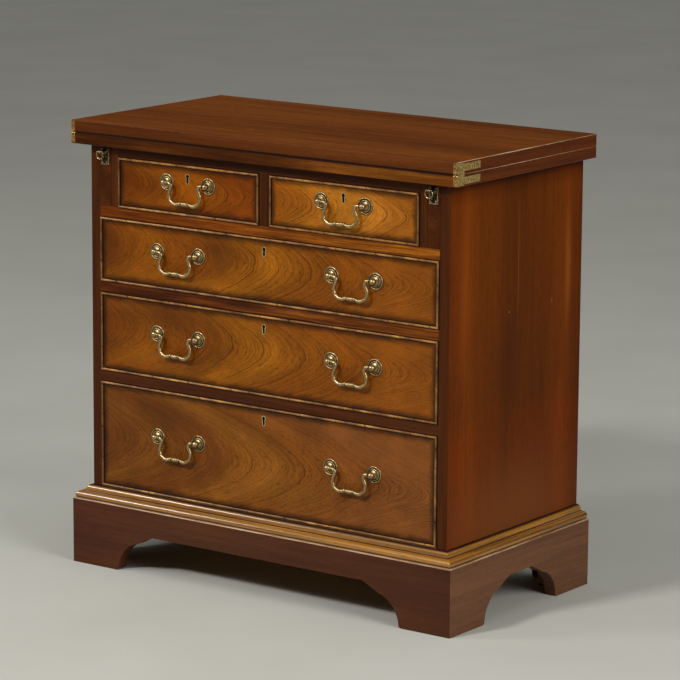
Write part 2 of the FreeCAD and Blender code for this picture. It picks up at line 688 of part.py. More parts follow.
def pin_bore():
    """Bore for the lower pin, right through the hinge head."""
    start = V(TOP_WIDTH / 2.0 - HINGE_THICKNESS - 1.0, PIN_LINE_Y, LOWER_PIN_Z)
    return rod(start, V(1, 0, 0), HINGE_THICKNESS + 2.0, HINGE_PIN_RADIUS + PIN_CLEARANCE)


def flipped(shape):
    """The lower leaf's shape turned over onto the upper leaf."""
    return shape.mirror(V(0, 0, MEETING_LEVEL), V(0, 0, 1))


def hinge_link():
    """Link between the two pins of the right hinge, with the pins in it."""
    middle = TOP_WIDTH / 2.0 - HINGE_THICKNESS / 2.0
    left = middle - LINK_THICKNESS / 2.0
    span = UPPER_PIN_Z - LOWER_PIN_Z
    plate = fused([
        rod(V(left, PIN_LINE_Y, LOWER_PIN_Z), V(1, 0, 0), LINK_THICKNESS, LINK_END_RADIUS),
        rod(V(left, PIN_LINE_Y, UPPER_PIN_Z), V(1, 0, 0), LINK_THICKNESS, LINK_END_RADIUS),
        block((left, left + LINK_THICKNESS),
              (PIN_LINE_Y - LINK_END_RADIUS, PIN_LINE_Y + LINK_END_RADIUS),
              (LOWER_PIN_Z, LOWER_PIN_Z + span)),
    ])
    pins = [hinge_pin(level, HINGE_PIN_RADIUS) for level in (LOWER_PIN_Z, UPPER_PIN_Z)]
    return [plate.cut(pins)] + pins


def build_top():
    """Both leaves, their hinges and screws."""
    plate = hinge_blank()
    screws = hinge_screws()
    recess = both_sides(plate) + both_sides(screws[0]) + both_sides(screws[1])
    fixed = leaf_board(CASE_TOP, (LEAF_ARRIS, ROLL_RADIUS, MEETING_ARRIS, LEAF_ARRIS))
    folding = leaf_board(FOLDING_LEAF_BOTTOM, (ROLL_RADIUS, LEAF_ARRIS, LEAF_ARRIS, MEETING_ARRIS))
    save("fixed_leaf", [fixed.cut(recess)])
    save("folding_leaf", [folding.cut([flipped(shape) for shape in recess])])
    finished = plate.cut([link_slot(), pin_bore()] + screws)
    slots = screw_slots(screws)
    finished_screws = [screw.cut(slot) for screw, slot in zip(screws, slots)]
    lower = [piece for shape in [finished] + finished_screws for piece in both_sides(shape)]
    save("hinge_plates_lower", lower)
    save("hinge_plates_upper", [flipped(piece) for piece in lower])
    save("hinge_links", [piece for shape in hinge_link() for piece in both_sides(shape)])


# ---- Lopers --------------------------------------------------------------------
def loper():
    """Right loper, grooved on its inner face for the stop peg."""
    x_range = (PARTITION_OUTSIDE + LOPER_CLEARANCE, HALF_INSIDE - LOPER_CLEARANCE)
    board = block(x_range, (CASE_FRONT, INSIDE_BACK - LOPER_BACK_GAP),
                  (SHORT_ROW[0] + LOPER_HEIGHT_CLEARANCE, LOPER_TOP))
    level = loper_groove_level()
    reach = PEG_RADIUS + GROOVE_CLEARANCE
    peg_y = CASE_FRONT + PEG_SETBACK
    floor = PARTITION_OUTSIDE + PEG_REACH + GROOVE_CLEARANCE
    groove = fused([
        block((x_range[0] - 1.0, floor), (peg_y, peg_y + LOPER_TRAVEL), (level - reach, level + reach)),
        rod(V(x_range[0] - 1.0, peg_y, level), V(1, 0, 0), floor - x_range[0] + 1.0, reach),
        rod(V(x_range[0] - 1.0, peg_y + LOPER_TRAVEL, level), V(1, 0, 0), floor - x_range[0] + 1.0,
            reach),
    ])
    return board.cut([groove, pull_tang()])


def pull_tang():
    """Shank of the right ring pull inside the loper."""
    return rod(V(LOPER_MIDDLE, CASE_FRONT, PULL_PIVOT_Z), V(0, 1, 0), PULL_TANG_LENGTH,
               PULL_TANG_RADIUS)


def loper_pull():
    """Right pull plate, and the post with its tang."""
    low = LOPER_TOP - PULL_PLATE_DROP - PULL_PLATE_HEIGHT
    half = PULL_PLATE_WIDTH / 2.0
    near = CASE_FRONT - PULL_PLATE_THICKNESS
    plate = block((LOPER_MIDDLE - half, LOPER_MIDDLE + half), (near, CASE_FRONT),
                  (low, low + PULL_PLATE_HEIGHT))
    plate = plate.makeChamfer(PULL_PLATE_THICKNESS / 2.0,
                              [edge for edge in plate.Edges
                               if edge.BoundBox.YMax < near + 0.01])
    axis = V(LOPER_MIDDLE, PULL_PIVOT_Y, PULL_PIVOT_Z)
    post = ball_post(axis, PULL_BALL, PULL_NECK, CASE_FRONT, PULL_TANG_RADIUS,
                     CASE_FRONT + PULL_TANG_LENGTH)
    bore = rod(axis - V(PULL_BALL + 1.0, 0, 0), V(1, 0, 0), 2.0 * PULL_BALL + 2.0,
               RING_PIN_RADIUS + BAIL_PIN_CLEARANCE)
    return [plate.cut(post), post.cut(bore)]


def loper_ring():
    """Right ring: a round wire closed by a straight pin through the post's ball."""
    axis = V(LOPER_MIDDLE, PULL_PIVOT_Y, PULL_PIVOT_Z)
    half_chord = PULL_BALL + RING_GAP + RING_WIRE
    drop = math.sqrt(RING_RADIUS ** 2 - half_chord ** 2)
    centre = axis - V(0, 0, drop)
    left = axis - V(half_chord, 0, 0)
    right = axis + V(half_chord, 0, 0)
    path = Part.Wire([Part.Arc(left, centre - V(0, 0, RING_RADIUS), right).toShape()])
    tangent = V(-drop, 0, -half_chord)
    section = Part.Wire([Part.makeCircle(RING_WIRE, left, tangent)])
    return fused([
        path.makePipeShell([section], True, True),
        Part.makeSphere(RING_WIRE, left),
        Part.makeSphere(RING_WIRE, right),
        rod(left, V(1, 0, 0), 2.0 * half_chord, RING_PIN_RADIUS),
    ])


def build_lopers():
    """Lopers, their pulls and rings."""
    board = loper()
    pull = loper_pull()
    ring = loper_ring()
    save("loper_right", [board])
    save("loper_right_pull", pull)
    save("loper_right_ring", [ring])
    save("loper_left", [mirrored(board)])
    save("loper_left_pull", [mirrored(piece) for piece in pull])
    save("loper_left_ring", [mirrored(ring)])


# ---- Handles --------------------------------------------------------------------
def rose(x, z):
    """Round backplate of one post: a rounded rim, a groove, an inner ring and a boss."""
    bore = SHANK_RADIUS + SHANK_CLEARANCE
    groove = ROSE_RADIUS - ROSE_RIM_WIDTH
    ring = groove - ROSE_GROOVE_WIDTH
    dish = ring - ROSE_RING_WIDTH

    def at(radius, rise):
        return V(x + radius, CASE_FRONT - rise, z)

    face = outline(
        at(bore, 0.0),
        at(ROSE_RADIUS, 0.0),
        (at(ROSE_RADIUS - ROSE_RIM_WIDTH / 2.0, ROSE_RIM_RISE), at(groove, ROSE_GROOVE_RISE)),
        at(ring, ROSE_GROOVE_RISE),
        (at(ring - ROSE_RING_WIDTH / 2.0, ROSE_RING_RISE), at(dish, ROSE_DISH_RISE)),
        at(POST_NECK + ROSE_BOSS, ROSE_DISH_RISE),
        at(POST_NECK, ROSE_TOP),
        at(bore, ROSE_TOP),
    )
    return turned(face, at(0.0, 0.0), V(0, 1, 0))


def post(x, z, inward):
    """Turned post: ball, neck, shank through the front, and the bail's bore."""
    centre = V(x, BAIL_AXIS_Y, z)
    foot = CASE_FRONT - ROSE_TOP
    body = ball_post(centre, POST_BALL, POST_NECK, foot, SHANK_RADIUS,
                     FRONT_BACK + NUT_THICKNESS + SHANK_END)
    bore = rod(centre - V(inward * (BAIL_PIN_LENGTH + 0.5), 0, 0), V(inward, 0, 0),
               BAIL_PIN_LENGTH + 0.5 + POST_BALL + 1.0, BAIL_PIN_RADIUS + BAIL_PIN_CLEARANCE)
    return body.cut(bore)


def nut(x, z):
    """Round nut inside the drawer front."""
    body = rod(V(x, FRONT_BACK, z), V(0, 1, 0), NUT_THICKNESS, NUT_RADIUS)
    return body.cut(rod(V(x, FRONT_BACK - 1.0, z), V(0, 1, 0), NUT_THICKNESS + 2.0, SHANK_RADIUS))


def bail_arm(x, z):
    """Right-hand half of a bail about its handle's middle, without the grip."""
    post_x = x + HANDLE_SPACING / 2.0
    collar = post_x - POST_BALL - BAIL_COLLAR_GAP
    grip_end = x + GRIP_LENGTH / 2.0 + GRIP_COLLAR_WIDTH
    neck = collar - BAIL_COLLAR_WIDTH - BAIL_RADIUS - BAIL_TOP_BEND
    corners = [V(collar - BAIL_COLLAR_WIDTH / 2.0, BAIL_AXIS_Y, z), V(neck, BAIL_AXIS_Y, z)]
    corners += [V(neck + out, BAIL_AXIS_Y, z - down) for out, down, _ in BAIL_BENDS]
    corners.append(V(grip_end, BAIL_AXIS_Y, z - BAIL_DROP))
    radii = [0, BAIL_TOP_BEND] + [radius for _, _, radius in BAIL_BENDS] + [0]
    path = rounded_wire(corners, radii, closed=False)
    section = Part.Wire([Part.makeCircle(BAIL_RADIUS, corners[0], V(1, 0, 0))])
    return [
        path.makePipeShell([section], True, False),
        rod(V(collar, BAIL_AXIS_Y, z), V(-1, 0, 0), BAIL_COLLAR_WIDTH, BAIL_COLLAR_RADIUS),
        rod(V(post_x + BAIL_PIN_LENGTH, BAIL_AXIS_Y, z), V(-1, 0, 0),
            BAIL_PIN_LENGTH + POST_BALL + BAIL_COLLAR_GAP + BAIL_COLLAR_WIDTH / 2.0,
            BAIL_PIN_RADIUS),
    ]


def grip(x, z):
    """Swelling grip with a collar at each end, along X."""
    half = GRIP_LENGTH / 2.0
    level = z - BAIL_DROP
    end = half + GRIP_COLLAR_WIDTH
    swell = outline(V(x - half, BAIL_AXIS_Y, level),
                    V(x - half, BAIL_AXIS_Y, level + BAIL_RADIUS),
                    (V(x, BAIL_AXIS_Y, level + GRIP_RADIUS),
                     V(x + half, BAIL_AXIS_Y, level + BAIL_RADIUS)),
                    V(x + half, BAIL_AXIS_Y, level))
    body = turned(swell, V(x, BAIL_AXIS_Y, level), V(1, 0, 0))
    collars = [rod(V(x - end, BAIL_AXIS_Y, level), V(1, 0, 0), GRIP_COLLAR_WIDTH, GRIP_COLLAR_RADIUS),
               rod(V(x + half, BAIL_AXIS_Y, level), V(1, 0, 0), GRIP_COLLAR_WIDTH,
                   GRIP_COLLAR_RADIUS)]
    return [body] + collars


def bail(x, z):
    """Whole swan-neck bail about a handle's middle."""
    arm = bail_arm(x, z)
    other = [piece.mirror(V(x, 0, 0), V(1, 0, 0)) for piece in arm]
    return fused(arm + other + grip(x, z))


# ---- Locks ---------------------------------------------------------------------
def bolt_depths():
    """Near and far faces of a lock bolt."""
    near = CASE_FRONT + LOCK_SETBACK + LOCK_WALL + BOLT_CLEARANCE
    return near, near + BOLT_THICKNESS


def keyhole(x, z, grow, y_range):
    """Keyhole-shaped solid: a round over a slot, grown by a wall."""
    y0, y1 = y_range
    half = KEYHOLE_SLOT / 2.0 + grow
    return fused([
        rod(V(x, y0, z), V(0, 1, 0), y1 - y0, KEYHOLE_RADIUS + grow),
        block((x - half, x + half), (y0, y1), (z - KEYHOLE_TAIL, z)),
        rod(V(x, y0, z - KEYHOLE_TAIL), V(0, 1, 0), y1 - y0, half),
    ])


def escutcheon(x, key_z):
    """Brass lining of the keyhole."""
    span = (CASE_FRONT - ESCUTCHEON_PROUD, CASE_FRONT + LOCK_SETBACK)
    outer = keyhole(x, key_z, ESCUTCHEON_WALL, span)
    return outer.cut(keyhole(x, key_z, 0.0, (span[0] - 1.0, span[1] + 1.0)))


def lock_blank(x, top):
    """Outer shape of the lock: back plate, top plate and case."""
    half_plate = LOCK_PLATE_WIDTH / 2.0
    half_case = LOCK_CASE_WIDTH / 2.0
    case_front = CASE_FRONT + LOCK_SETBACK
    return fused([
        block((x - half_plate, x + half_plate), (FRONT_BACK - LOCK_PLATE_THICKNESS, FRONT_BACK),
              (top - LOCK_PLATE_HEIGHT, top)),
        block((x - half_plate, x + half_plate), (case_front, FRONT_BACK),
              (top - LOCK_PLATE_THICKNESS, top)),
        block((x - half_case, x + half_case), (case_front, FRONT_BACK),
              (top - LOCK_CASE_HEIGHT, top)),
    ])


def lock(x, top):
    """Lock with its bolt space and keyhole cut, and the drill pin."""
    key_z = top - KEYHOLE_DROP
    near = CASE_FRONT + LOCK_SETBACK + LOCK_WALL
    far = FRONT_BACK - LOCK_PLATE_THICKNESS
    half_case = LOCK_CASE_WIDTH / 2.0 - LOCK_WALL
    inside = block((x - half_case, x + half_case), (near, far),
                   (top - LOCK_CASE_HEIGHT + LOCK_WALL, top - LOCK_PLATE_THICKNESS))
    half_slot = BOLT_WIDTH / 2.0 + BOLT_CLEARANCE
    bolt_near, bolt_far = bolt_depths()
    slot = block((x - half_slot, x + half_slot), (bolt_near - BOLT_CLEARANCE, bolt_far + BOLT_CLEARANCE),
                 (top - LOCK_PLATE_THICKNESS - 1.0, top + 1.0))
    mouth = keyhole(x, key_z, 0.0, (near - LOCK_WALL - 1.0, near + 0.1))
    drill_pin = rod(V(x, near - LOCK_WALL, key_z), V(0, 1, 0), far - near + LOCK_WALL, DRILL_PIN_RADIUS)
    return fused([lock_blank(x, top).cut([inside, slot, mouth]), drill_pin])


def lock_bolt(x, top):
    """Bolt, drawn in flush with the lock's top plate."""
    half = BOLT_WIDTH / 2.0
    return block((x - half, x + half), bolt_depths(), (top - BOLT_HEIGHT, top))


# ---- Drawers ---------------------------------------------------------------------
def drawer_side(x_range, z_range):
    """Drawer side with dovetails at both ends."""
    low, high = z_range
    front_root, front_end = FRONT_BACK, CASE_FRONT + DOVETAIL_LAP
    back_root, back_end = DRAWER_END - DRAWER_BACK, DRAWER_END
    count = max(2, int(round((high - low) / TAIL_PITCH)))
    pitch = (high - low) / count
    lean = TAIL_SLOPE * (FRONT_BACK - front_end)
    back_lean = TAIL_SLOPE * DRAWER_BACK
    points = []
    for i in range(count):
        foot, head = low + i * pitch + PIN_WIDTH / 2.0, low + (i + 1) * pitch - PIN_WIDTH / 2.0
        points += [(front_root, foot + lean), (front_end, foot), (front_end, head),
                   (front_root, head - lean)]
    points += [(front_root, high), (back_root, high)]
    for i in reversed(range(count)):
        foot, head = low + i * pitch + PIN_WIDTH / 2.0, low + (i + 1) * pitch - PIN_WIDTH / 2.0
        points += [(back_root, head - back_lean), (back_end, head), (back_end, foot),
                   (back_root, foot + back_lean)]
    points += [(back_root, low), (front_root, low)]
    face = outline(*[V(x_range[0], y, z) for y, z in points])
    return face.extrude(V(x_range[1] - x_range[0], 0, 0))


def cock_beads(x_range, z_range):
    """Mitred half-round beads round a drawer front."""
    (x0, x1), (z0, z1) = x_range, z_range
    radius = BEAD_WIDTH / 2.0
    root = CASE_FRONT + BEAD_DEPTH
    shoulder = CASE_FRONT - BEAD_PROUD + radius
    nose = CASE_FRONT - BEAD_PROUD
    half_height = (z1 - z0) / 2.0
    across = outline(V(x0, root, z0), V(x0, shoulder, z0),
                     (V(x0, nose, z0 + radius), V(x0, shoulder, z0 + BEAD_WIDTH)),
                     V(x0, root, z0 + BEAD_WIDTH)).extrude(V(x1 - x0, 0, 0))
    upright = outline(V(x0, root, z0), V(x0, shoulder, z0),
                      (V(x0 + radius, nose, z0), V(x0 + BEAD_WIDTH, shoulder, z0)),
                      V(x0 + BEAD_WIDTH, root, z0)).extrude(V(0, 0, z1 - z0))
    past = 1.0
    near = nose - past
    depth = V(0, root + past - near, 0)
    lower_wedge = outline(V(x0 - past, near, z0 - past), V(x1 + past, near, z0 - past),
                          V(x1 - half_height, near, z0 + half_height),
                          V(x0 + half_height, near, z0 + half_height)).extrude(depth)
    side_wedge = outline(V(x0 - past, near, z0 - past), V(x0 + half_height, near, z0 + half_height),
                         V(x0 - past, near, z1 + past)).extrude(depth)
    lower = across.common(lower_wedge)
    left = upright.common(side_wedge)
    upper = lower.mirror(V(0, 0, (z0 + z1) / 2.0), V(0, 0, 1))
    right = left.mirror(V((x0 + x1) / 2.0, 0, 0), V(1, 0, 0))
    strips, _ = lower.generalFuse([upper, left, right])   # neighbours share one face at each mitre
    return strips.Solids


def build_drawer(name, x_range, row, handles, handle_rise):
    """One drawer: front, beads, box, posts, bails, lock and bolt.

    handles maps a suffix to the middle of a handle.
    """
    x0, x1 = x_range[0] + FRONT_CLEARANCE, x_range[1] - FRONT_CLEARANCE
    z0, z1 = row[0] + FRONT_CLEARANCE, row[1] - FRONT_CLEARANCE
    middle = (x0 + x1) / 2.0
    side_z = (row[0] + RUN_CLEARANCE, row[1] - SIDE_TOP_DROP)
    sides = [drawer_side((x0, x0 + DRAWER_SIDE), side_z), drawer_side((x1 - DRAWER_SIDE, x1), side_z)]
    groove = BOTTOM_GROOVE
    panel_z = (side_z[0] + BOTTOM_RAISE, side_z[0] + BOTTOM_RAISE + DRAWER_BOTTOM)
    panel = block((x0 + DRAWER_SIDE - groove, x1 - DRAWER_SIDE + groove),
                  (FRONT_BACK - groove, DRAWER_END), panel_z)
    back = block((x0, x1), (DRAWER_END - DRAWER_BACK, DRAWER_END),
                 (panel_z[1], side_z[1] - BACK_TOP_DROP))
    back = back.cut(sides)
    sides = [side.cut(panel) for side in sides]

    handle_z = (z0 + z1) / 2.0 + handle_rise
    half = HANDLE_SPACING / 2.0
    places = [(x + sign * half, -sign) for x in handles.values() for sign in (-1.0, 1.0)]
    posts = [post(x, handle_z, inward) for x, inward in places]
    roses = [rose(x, handle_z) for x, _ in places]
    nuts = [nut(x, handle_z) for x, _ in places]
    holes = [rod(V(x, CASE_FRONT - 1.0, handle_z), V(0, 1, 0), FRONT_THICKNESS + 2.0,
                 SHANK_RADIUS + SHANK_CLEARANCE) for x, _ in places]

    face = block((x0 + BEAD_WIDTH, x1 - BEAD_WIDTH), (CASE_FRONT, CASE_FRONT + BEAD_DEPTH),
                 (z0 + BEAD_WIDTH, z1 - BEAD_WIDTH))
    rear = block((x0, x1), (CASE_FRONT + BEAD_DEPTH, FRONT_BACK), (z0, z1))
    core = fused([face, rear])
    key_z = z1 - KEYHOLE_DROP
    mouth = keyhole(middle, key_z, ESCUTCHEON_WALL, (CASE_FRONT - 1.0, CASE_FRONT + LOCK_SETBACK))
    front = core.cut(sides + holes + [panel, mouth, lock_blank(middle, z1)])

    save(name + "_front", [front])
    save(name + "_beads", cock_beads((x0, x1), (z0, z1)))
    save(name + "_box", sides + [back, panel])
    save(name + "_posts", posts + roses + nuts)
    save(name + "_lock", [lock(middle, z1), escutcheon(middle, key_z)])
    save(name + "_bolt", [lock_bolt(middle, z1)])
    for suffix, x in handles.items():
        save(name + "_bail" + suffix, [bail(x, handle_z)])


def build_case():
    """The standing parts of the chest."""
    side = case_side()
    save("case_side_right", [side])
    save("case_side_left", [mirrored(side)])
    save("case_bottom", [block((-HALF_INSIDE, HALF_INSIDE), (CASE_FRONT, INSIDE_BACK),
                               (PLINTH_HEIGHT, CASE_FLOOR))])
    save("case_back", case_back())
    save("drawer_rails", drawer_rails())
    save("drawer_runners", drawer_runners())
    save("partitions", partitions())
    save("base_moulding", base_moulding())
    front, right, left = plinth_boards()
    save("plinth_front", [front])
    save("plinth_returns", [right, left] + both_sides(back_bracket()))
    save("plinth_blocks", plinth_blocks())


def build_drawers():
    """Two short drawers and three long ones."""
    short = short_middle()
    build_drawer("short_drawer_left", (-PARTITION_INSIDE, -HALF_DIVIDER), SHORT_ROW,
                 {"": -short}, SHORT_HANDLE_RISE)
    build_drawer("short_drawer_right", (HALF_DIVIDER, PARTITION_INSIDE), SHORT_ROW,
                 {"": short}, SHORT_HANDLE_RISE)
    pair = {"_left": -LONG_HANDLE_OFFSET, "_right": LONG_HANDLE_OFFSET}
    for name, row, rise in (("upper", UPPER_ROW, UPPER_HANDLE_RISE),
                            ("middle", MIDDLE_ROW, MIDDLE_HANDLE_RISE),
                            ("lower", LOWER_ROW, LOWER_HANDLE_RISE)):
        build_drawer(name + "_drawer", (-HALF_INSIDE, HALF_INSIDE), row, pair, rise)


os.makedirs("parts", exist_ok=True)
build_case()
build_top()
build_lopers()
build_drawers()
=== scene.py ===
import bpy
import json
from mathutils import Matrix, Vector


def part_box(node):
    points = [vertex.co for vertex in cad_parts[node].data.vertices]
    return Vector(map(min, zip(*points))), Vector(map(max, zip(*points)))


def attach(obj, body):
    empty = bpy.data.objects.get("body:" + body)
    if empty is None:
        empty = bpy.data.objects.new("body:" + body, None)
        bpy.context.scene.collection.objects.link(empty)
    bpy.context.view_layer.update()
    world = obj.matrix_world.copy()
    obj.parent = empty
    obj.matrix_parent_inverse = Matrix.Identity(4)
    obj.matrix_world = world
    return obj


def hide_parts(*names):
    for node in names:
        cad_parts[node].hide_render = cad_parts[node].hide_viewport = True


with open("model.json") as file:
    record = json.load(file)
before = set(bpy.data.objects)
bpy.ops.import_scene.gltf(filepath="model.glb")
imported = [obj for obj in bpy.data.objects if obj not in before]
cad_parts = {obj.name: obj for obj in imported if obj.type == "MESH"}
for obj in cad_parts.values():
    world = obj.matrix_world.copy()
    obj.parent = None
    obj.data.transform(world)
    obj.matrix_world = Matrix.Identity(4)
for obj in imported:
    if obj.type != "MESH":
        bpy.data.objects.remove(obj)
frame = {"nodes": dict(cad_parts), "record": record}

"""Looks of a bachelors chest: polished mahogany, figured drawer veneers and antique brass."""

import json
import logging
import math
from collections.abc import Callable
from dataclasses import dataclass, field
from enum import Enum
from functools import cache

import bmesh
import bpy
from mathutils import Matrix, Vector

Tree = bpy.types.NodeTree
Socket = bpy.types.NodeSocket
Material = bpy.types.Material
Mesh = bmesh.types.BMesh
# three measures of a place, or of a pattern along each axis
Triple = tuple[float, float, float]
# stations of a turned or bent part, in millimetres
Profile = tuple[Triple, ...]
# places and hex colours of a colour ramp
Stops = tuple[tuple[float, str], ...]
# left, right, bottom and top of an upright rectangle
Edges = tuple[float, float, float, float]

MM = 0.001
SHARP_ANGLE = math.radians(40.0)
FLAT_ANGLE = math.radians(0.3)
MERGE_GAP = 0.002 * MM
WELD_GAP = 0.004 * MM
# a face looks along an axis when this much of its normal does
FACING_SHARE = 0.9
PORE_BUMP = 0.2 * MM
METAL_SHORTEST = 1.5 * MM
RIM_DEPTH = 2.0 * MM
BAR_STEPS = 6
# vertex layer that holds how dirty a hollow in a metal part is
HOLLOW = "hollow"
DRAWER_NAMES = ("short_drawer_left", "short_drawer_right", "upper_drawer", "middle_drawer",
                "lower_drawer")
SIDES = (-1.0, 1.0)
log = logging.getLogger("chest")


# ---- Colour and nodes ---------------------------------------------------------
def linear(code: str) -> tuple[float, float, float, float]:
    """Turn an sRGB hex colour into linear light.

    Args:
        code: six hex digits after a hash sign.

    Returns:
        Red, green, blue and an alpha of one.
    """
    channels = [int(code[i:i + 2], 16) / 255.0 for i in (1, 3, 5)]
    red, green, blue = (c / 12.92 if c <= 0.04045 else ((c + 0.055) / 1.055) ** 2.4 for c in channels)
    return red, green, blue, 1.0


def add(tree: Tree, kind: str, links: dict | None = None, out: int | str = 0,
        stops: tuple = (), **settings) -> Socket | None:
    """Add a node with its settings and links.

    Args:
        tree: the material's or the world's nodes.
        kind: node type, without Blender's "ShaderNode" in front.
        links: input name or number, to a value or to another node's output.
        out: the output that is handed back.
        stops: (place, hex colour) pairs of a colour ramp.
        settings: properties of the node.

    Returns:
        The chosen output, or None where the node has none.
    """
    node = tree.nodes.new("ShaderNode" + kind)
    for key, value in settings.items():
        setattr(node, key, value)
    for _ in stops[2:]:
        node.color_ramp.elements.new(1.0)
    for i, (place, code) in enumerate(stops):
        node.color_ramp.elements[i].position = place
        node.color_ramp.elements[i].color = linear(code)
    for key, value in (links or {}).items():
        if isinstance(value, Socket):
            tree.links.new(value, node.inputs[key])
        else:
            node.inputs[key].default_value = value
    return node.outputs[out] if node.outputs else None


def bare_material(name: str) -> tuple[Material, Tree]:
    """Make a material whose tree is still empty.

    Args:
        name: the finish's name.

    Returns:
        The material and its nodes.
    """
    made = bpy.data.materials.new(name)
    made.use_nodes = True
    made.node_tree.nodes.clear()
    return made, made.node_tree


class Grain(Enum):
    """Way the wood's fibres run, with the turn that lays them along X."""

    ALONG_X = (0.0, 0.0, 0.0)
    ALONG_Y = (0.0, 0.0, -math.pi / 2.0)
    ALONG_Z = (0.0, math.pi / 2.0, 0.0)


def fibre_noise(tree: Tree, place: Socket, pitch: Triple, detail: float, roughness: float = 0.5,
                out: str = "Fac") -> Socket:
    """Make noise that is drawn out along the fibres.

    Args:
        tree: the material's nodes.
        place: coordinates in metres.
        pitch: features per metre along each axis.
        detail: number of finer layers.
        roughness: share of the finer layers.
        out: the noise's output.

    Returns:
        The noise.
    """
    drawn = add(tree, "VectorMath", {0: place, 1: pitch}, operation="MULTIPLY")
    return add(tree, "TexNoise", {"Vector": drawn, "Scale": 1.0, "Detail": detail,
                                  "Roughness": roughness}, out=out)


def beyond_edges(tree: Tree, place: Socket, edges: Edges) -> Socket:
    """Measure how far a place lies outside an upright rectangle.

    Args:
        tree: the material's nodes.
        place: object coordinates.
        edges: the rectangle.

    Returns:
        The distance to the nearest edge, below zero inside.
    """
    left, right, bottom, top = edges
    middle = ((left + right) / 2.0, 0.0, (bottom + top) / 2.0)
    half = ((right - left) / 2.0, 0.0, (top - bottom) / 2.0)
    offset = add(tree, "VectorMath", {0: place, 1: middle}, operation="SUBTRACT")
    folded = add(tree, "VectorMath", {0: offset}, operation="ABSOLUTE")
    beyond = add(tree, "VectorMath", {0: folded, 1: half}, operation="SUBTRACT")
    across, upright = (add(tree, "SeparateXYZ", {0: beyond}, out=axis) for axis in (0, 2))
    return add(tree, "Math", {0: across, 1: upright}, operation="MAXIMUM")


# ---- Finishes -------------------------------------------------------------------
@dataclass(frozen=True)
class Shade:
    """Slow change of tone across a board: from heart to sapwood, from clean to grimy, and painted
    shade.
    """

    axis: int
    start: float
    end: float
    stops: Stops
    waver: float = 0.0
    waver_pitch: float = 7.0

    def apply(self, tree: Tree, place: Socket, colour: Socket) -> Socket:
        """Multiply a colour by this tone.

        Args:
            tree: the material's nodes.
            place: object coordinates.
            colour: the colour so far.

        Returns:
            The toned colour.
        """
        if self.waver:
            slow = add(tree, "TexNoise", {"Vector": place, "Scale": self.waver_pitch, "Detail": 2.0},
                       out="Color")
            place = add(tree, "VectorMath", {0: slow, 1: (self.waver,) * 3, 2: place},
                        operation="MULTIPLY_ADD")
        part = add(tree, "SeparateXYZ", {0: place}, out=self.axis)
        # the noise is half on average
        lag = 0.5 * self.waver
        share = add(tree, "MapRange", {"Value": part, "From Min": self.start + lag,
                                       "From Max": self.end + lag})
        tone = add(tree, "ValToRGB", {"Fac": share}, stops=self.stops)
        return add(tree, "Mix", {0: 1.0, 6: colour, 7: tone}, out=2, data_type="RGBA",
                   blend_type="MULTIPLY")


@dataclass(frozen=True)
class Mark:
    """One soft oval mark in a board: a scratch, a knot, a glue line or a cloud."""

    middle: Triple
    reach: Triple
    code: str
    strength: float
    turn: Triple = (0.0, 0.0, 0.0)
    soft: float = 0.6

    def apply(self, tree: Tree, place: Socket, colour: Socket) -> Socket:
        """Lay this mark over a colour.

        Args:
            tree: the material's nodes.
            place: object coordinates, or bent ones for a ragged mark.
            colour: the colour so far.

        Returns:
            The marked colour.
        """
        local = add(tree, "Mapping", {"Vector": place, "Location": [v * MM for v in self.middle],
                                      "Rotation": self.turn, "Scale": [v * MM for v in self.reach]},
                    vector_type="TEXTURE")
        distance = add(tree, "VectorMath", {0: local}, out="Value", operation="LENGTH")
        cover = add(tree, "MapRange", {"Value": distance, "From Min": 1.0 - self.soft, "From Max": 1.0,
                                       "To Min": self.strength, "To Max": 0.0},
                    interpolation_type="SMOOTHSTEP")
        return add(tree, "Mix", {0: cover, 6: colour, 7: linear(self.code)}, out=2, data_type="RGBA")


@dataclass(frozen=True)
class GapShadeAndGrime:
    """Painted shade of the gap and beads round each drawer, and old polish and dirt beside it."""

    openings: tuple[Edges, ...]
    code: str = "#120703"
    strength: float = 0.85
    inner: float = 0.6 * MM
    outer: float = 2.6 * MM

    def apply(self, tree: Tree, place: Socket, colour: Socket) -> Socket:
        """Darken a colour beside the openings.

        Args:
            tree: the material's nodes.
            place: object coordinates.
            colour: the colour so far.

        Returns:
            The darkened colour.
        """
        nearest = beyond_edges(tree, place, self.openings[0])
        for edges in self.openings[1:]:
            distance = beyond_edges(tree, place, edges)
            nearest = add(tree, "Math", {0: distance, 1: nearest}, operation="MINIMUM")
        cover = add(tree, "MapRange", {"Value": nearest, "From Min": self.inner,
                                       "From Max": self.outer, "To Min": self.strength,
                                       "To Max": 0.0},
                    interpolation_type="SMOOTHSTEP")
        return add(tree, "Mix", {0: cover, 6: colour, 7: linear(self.code)}, out=2, data_type="RGBA")


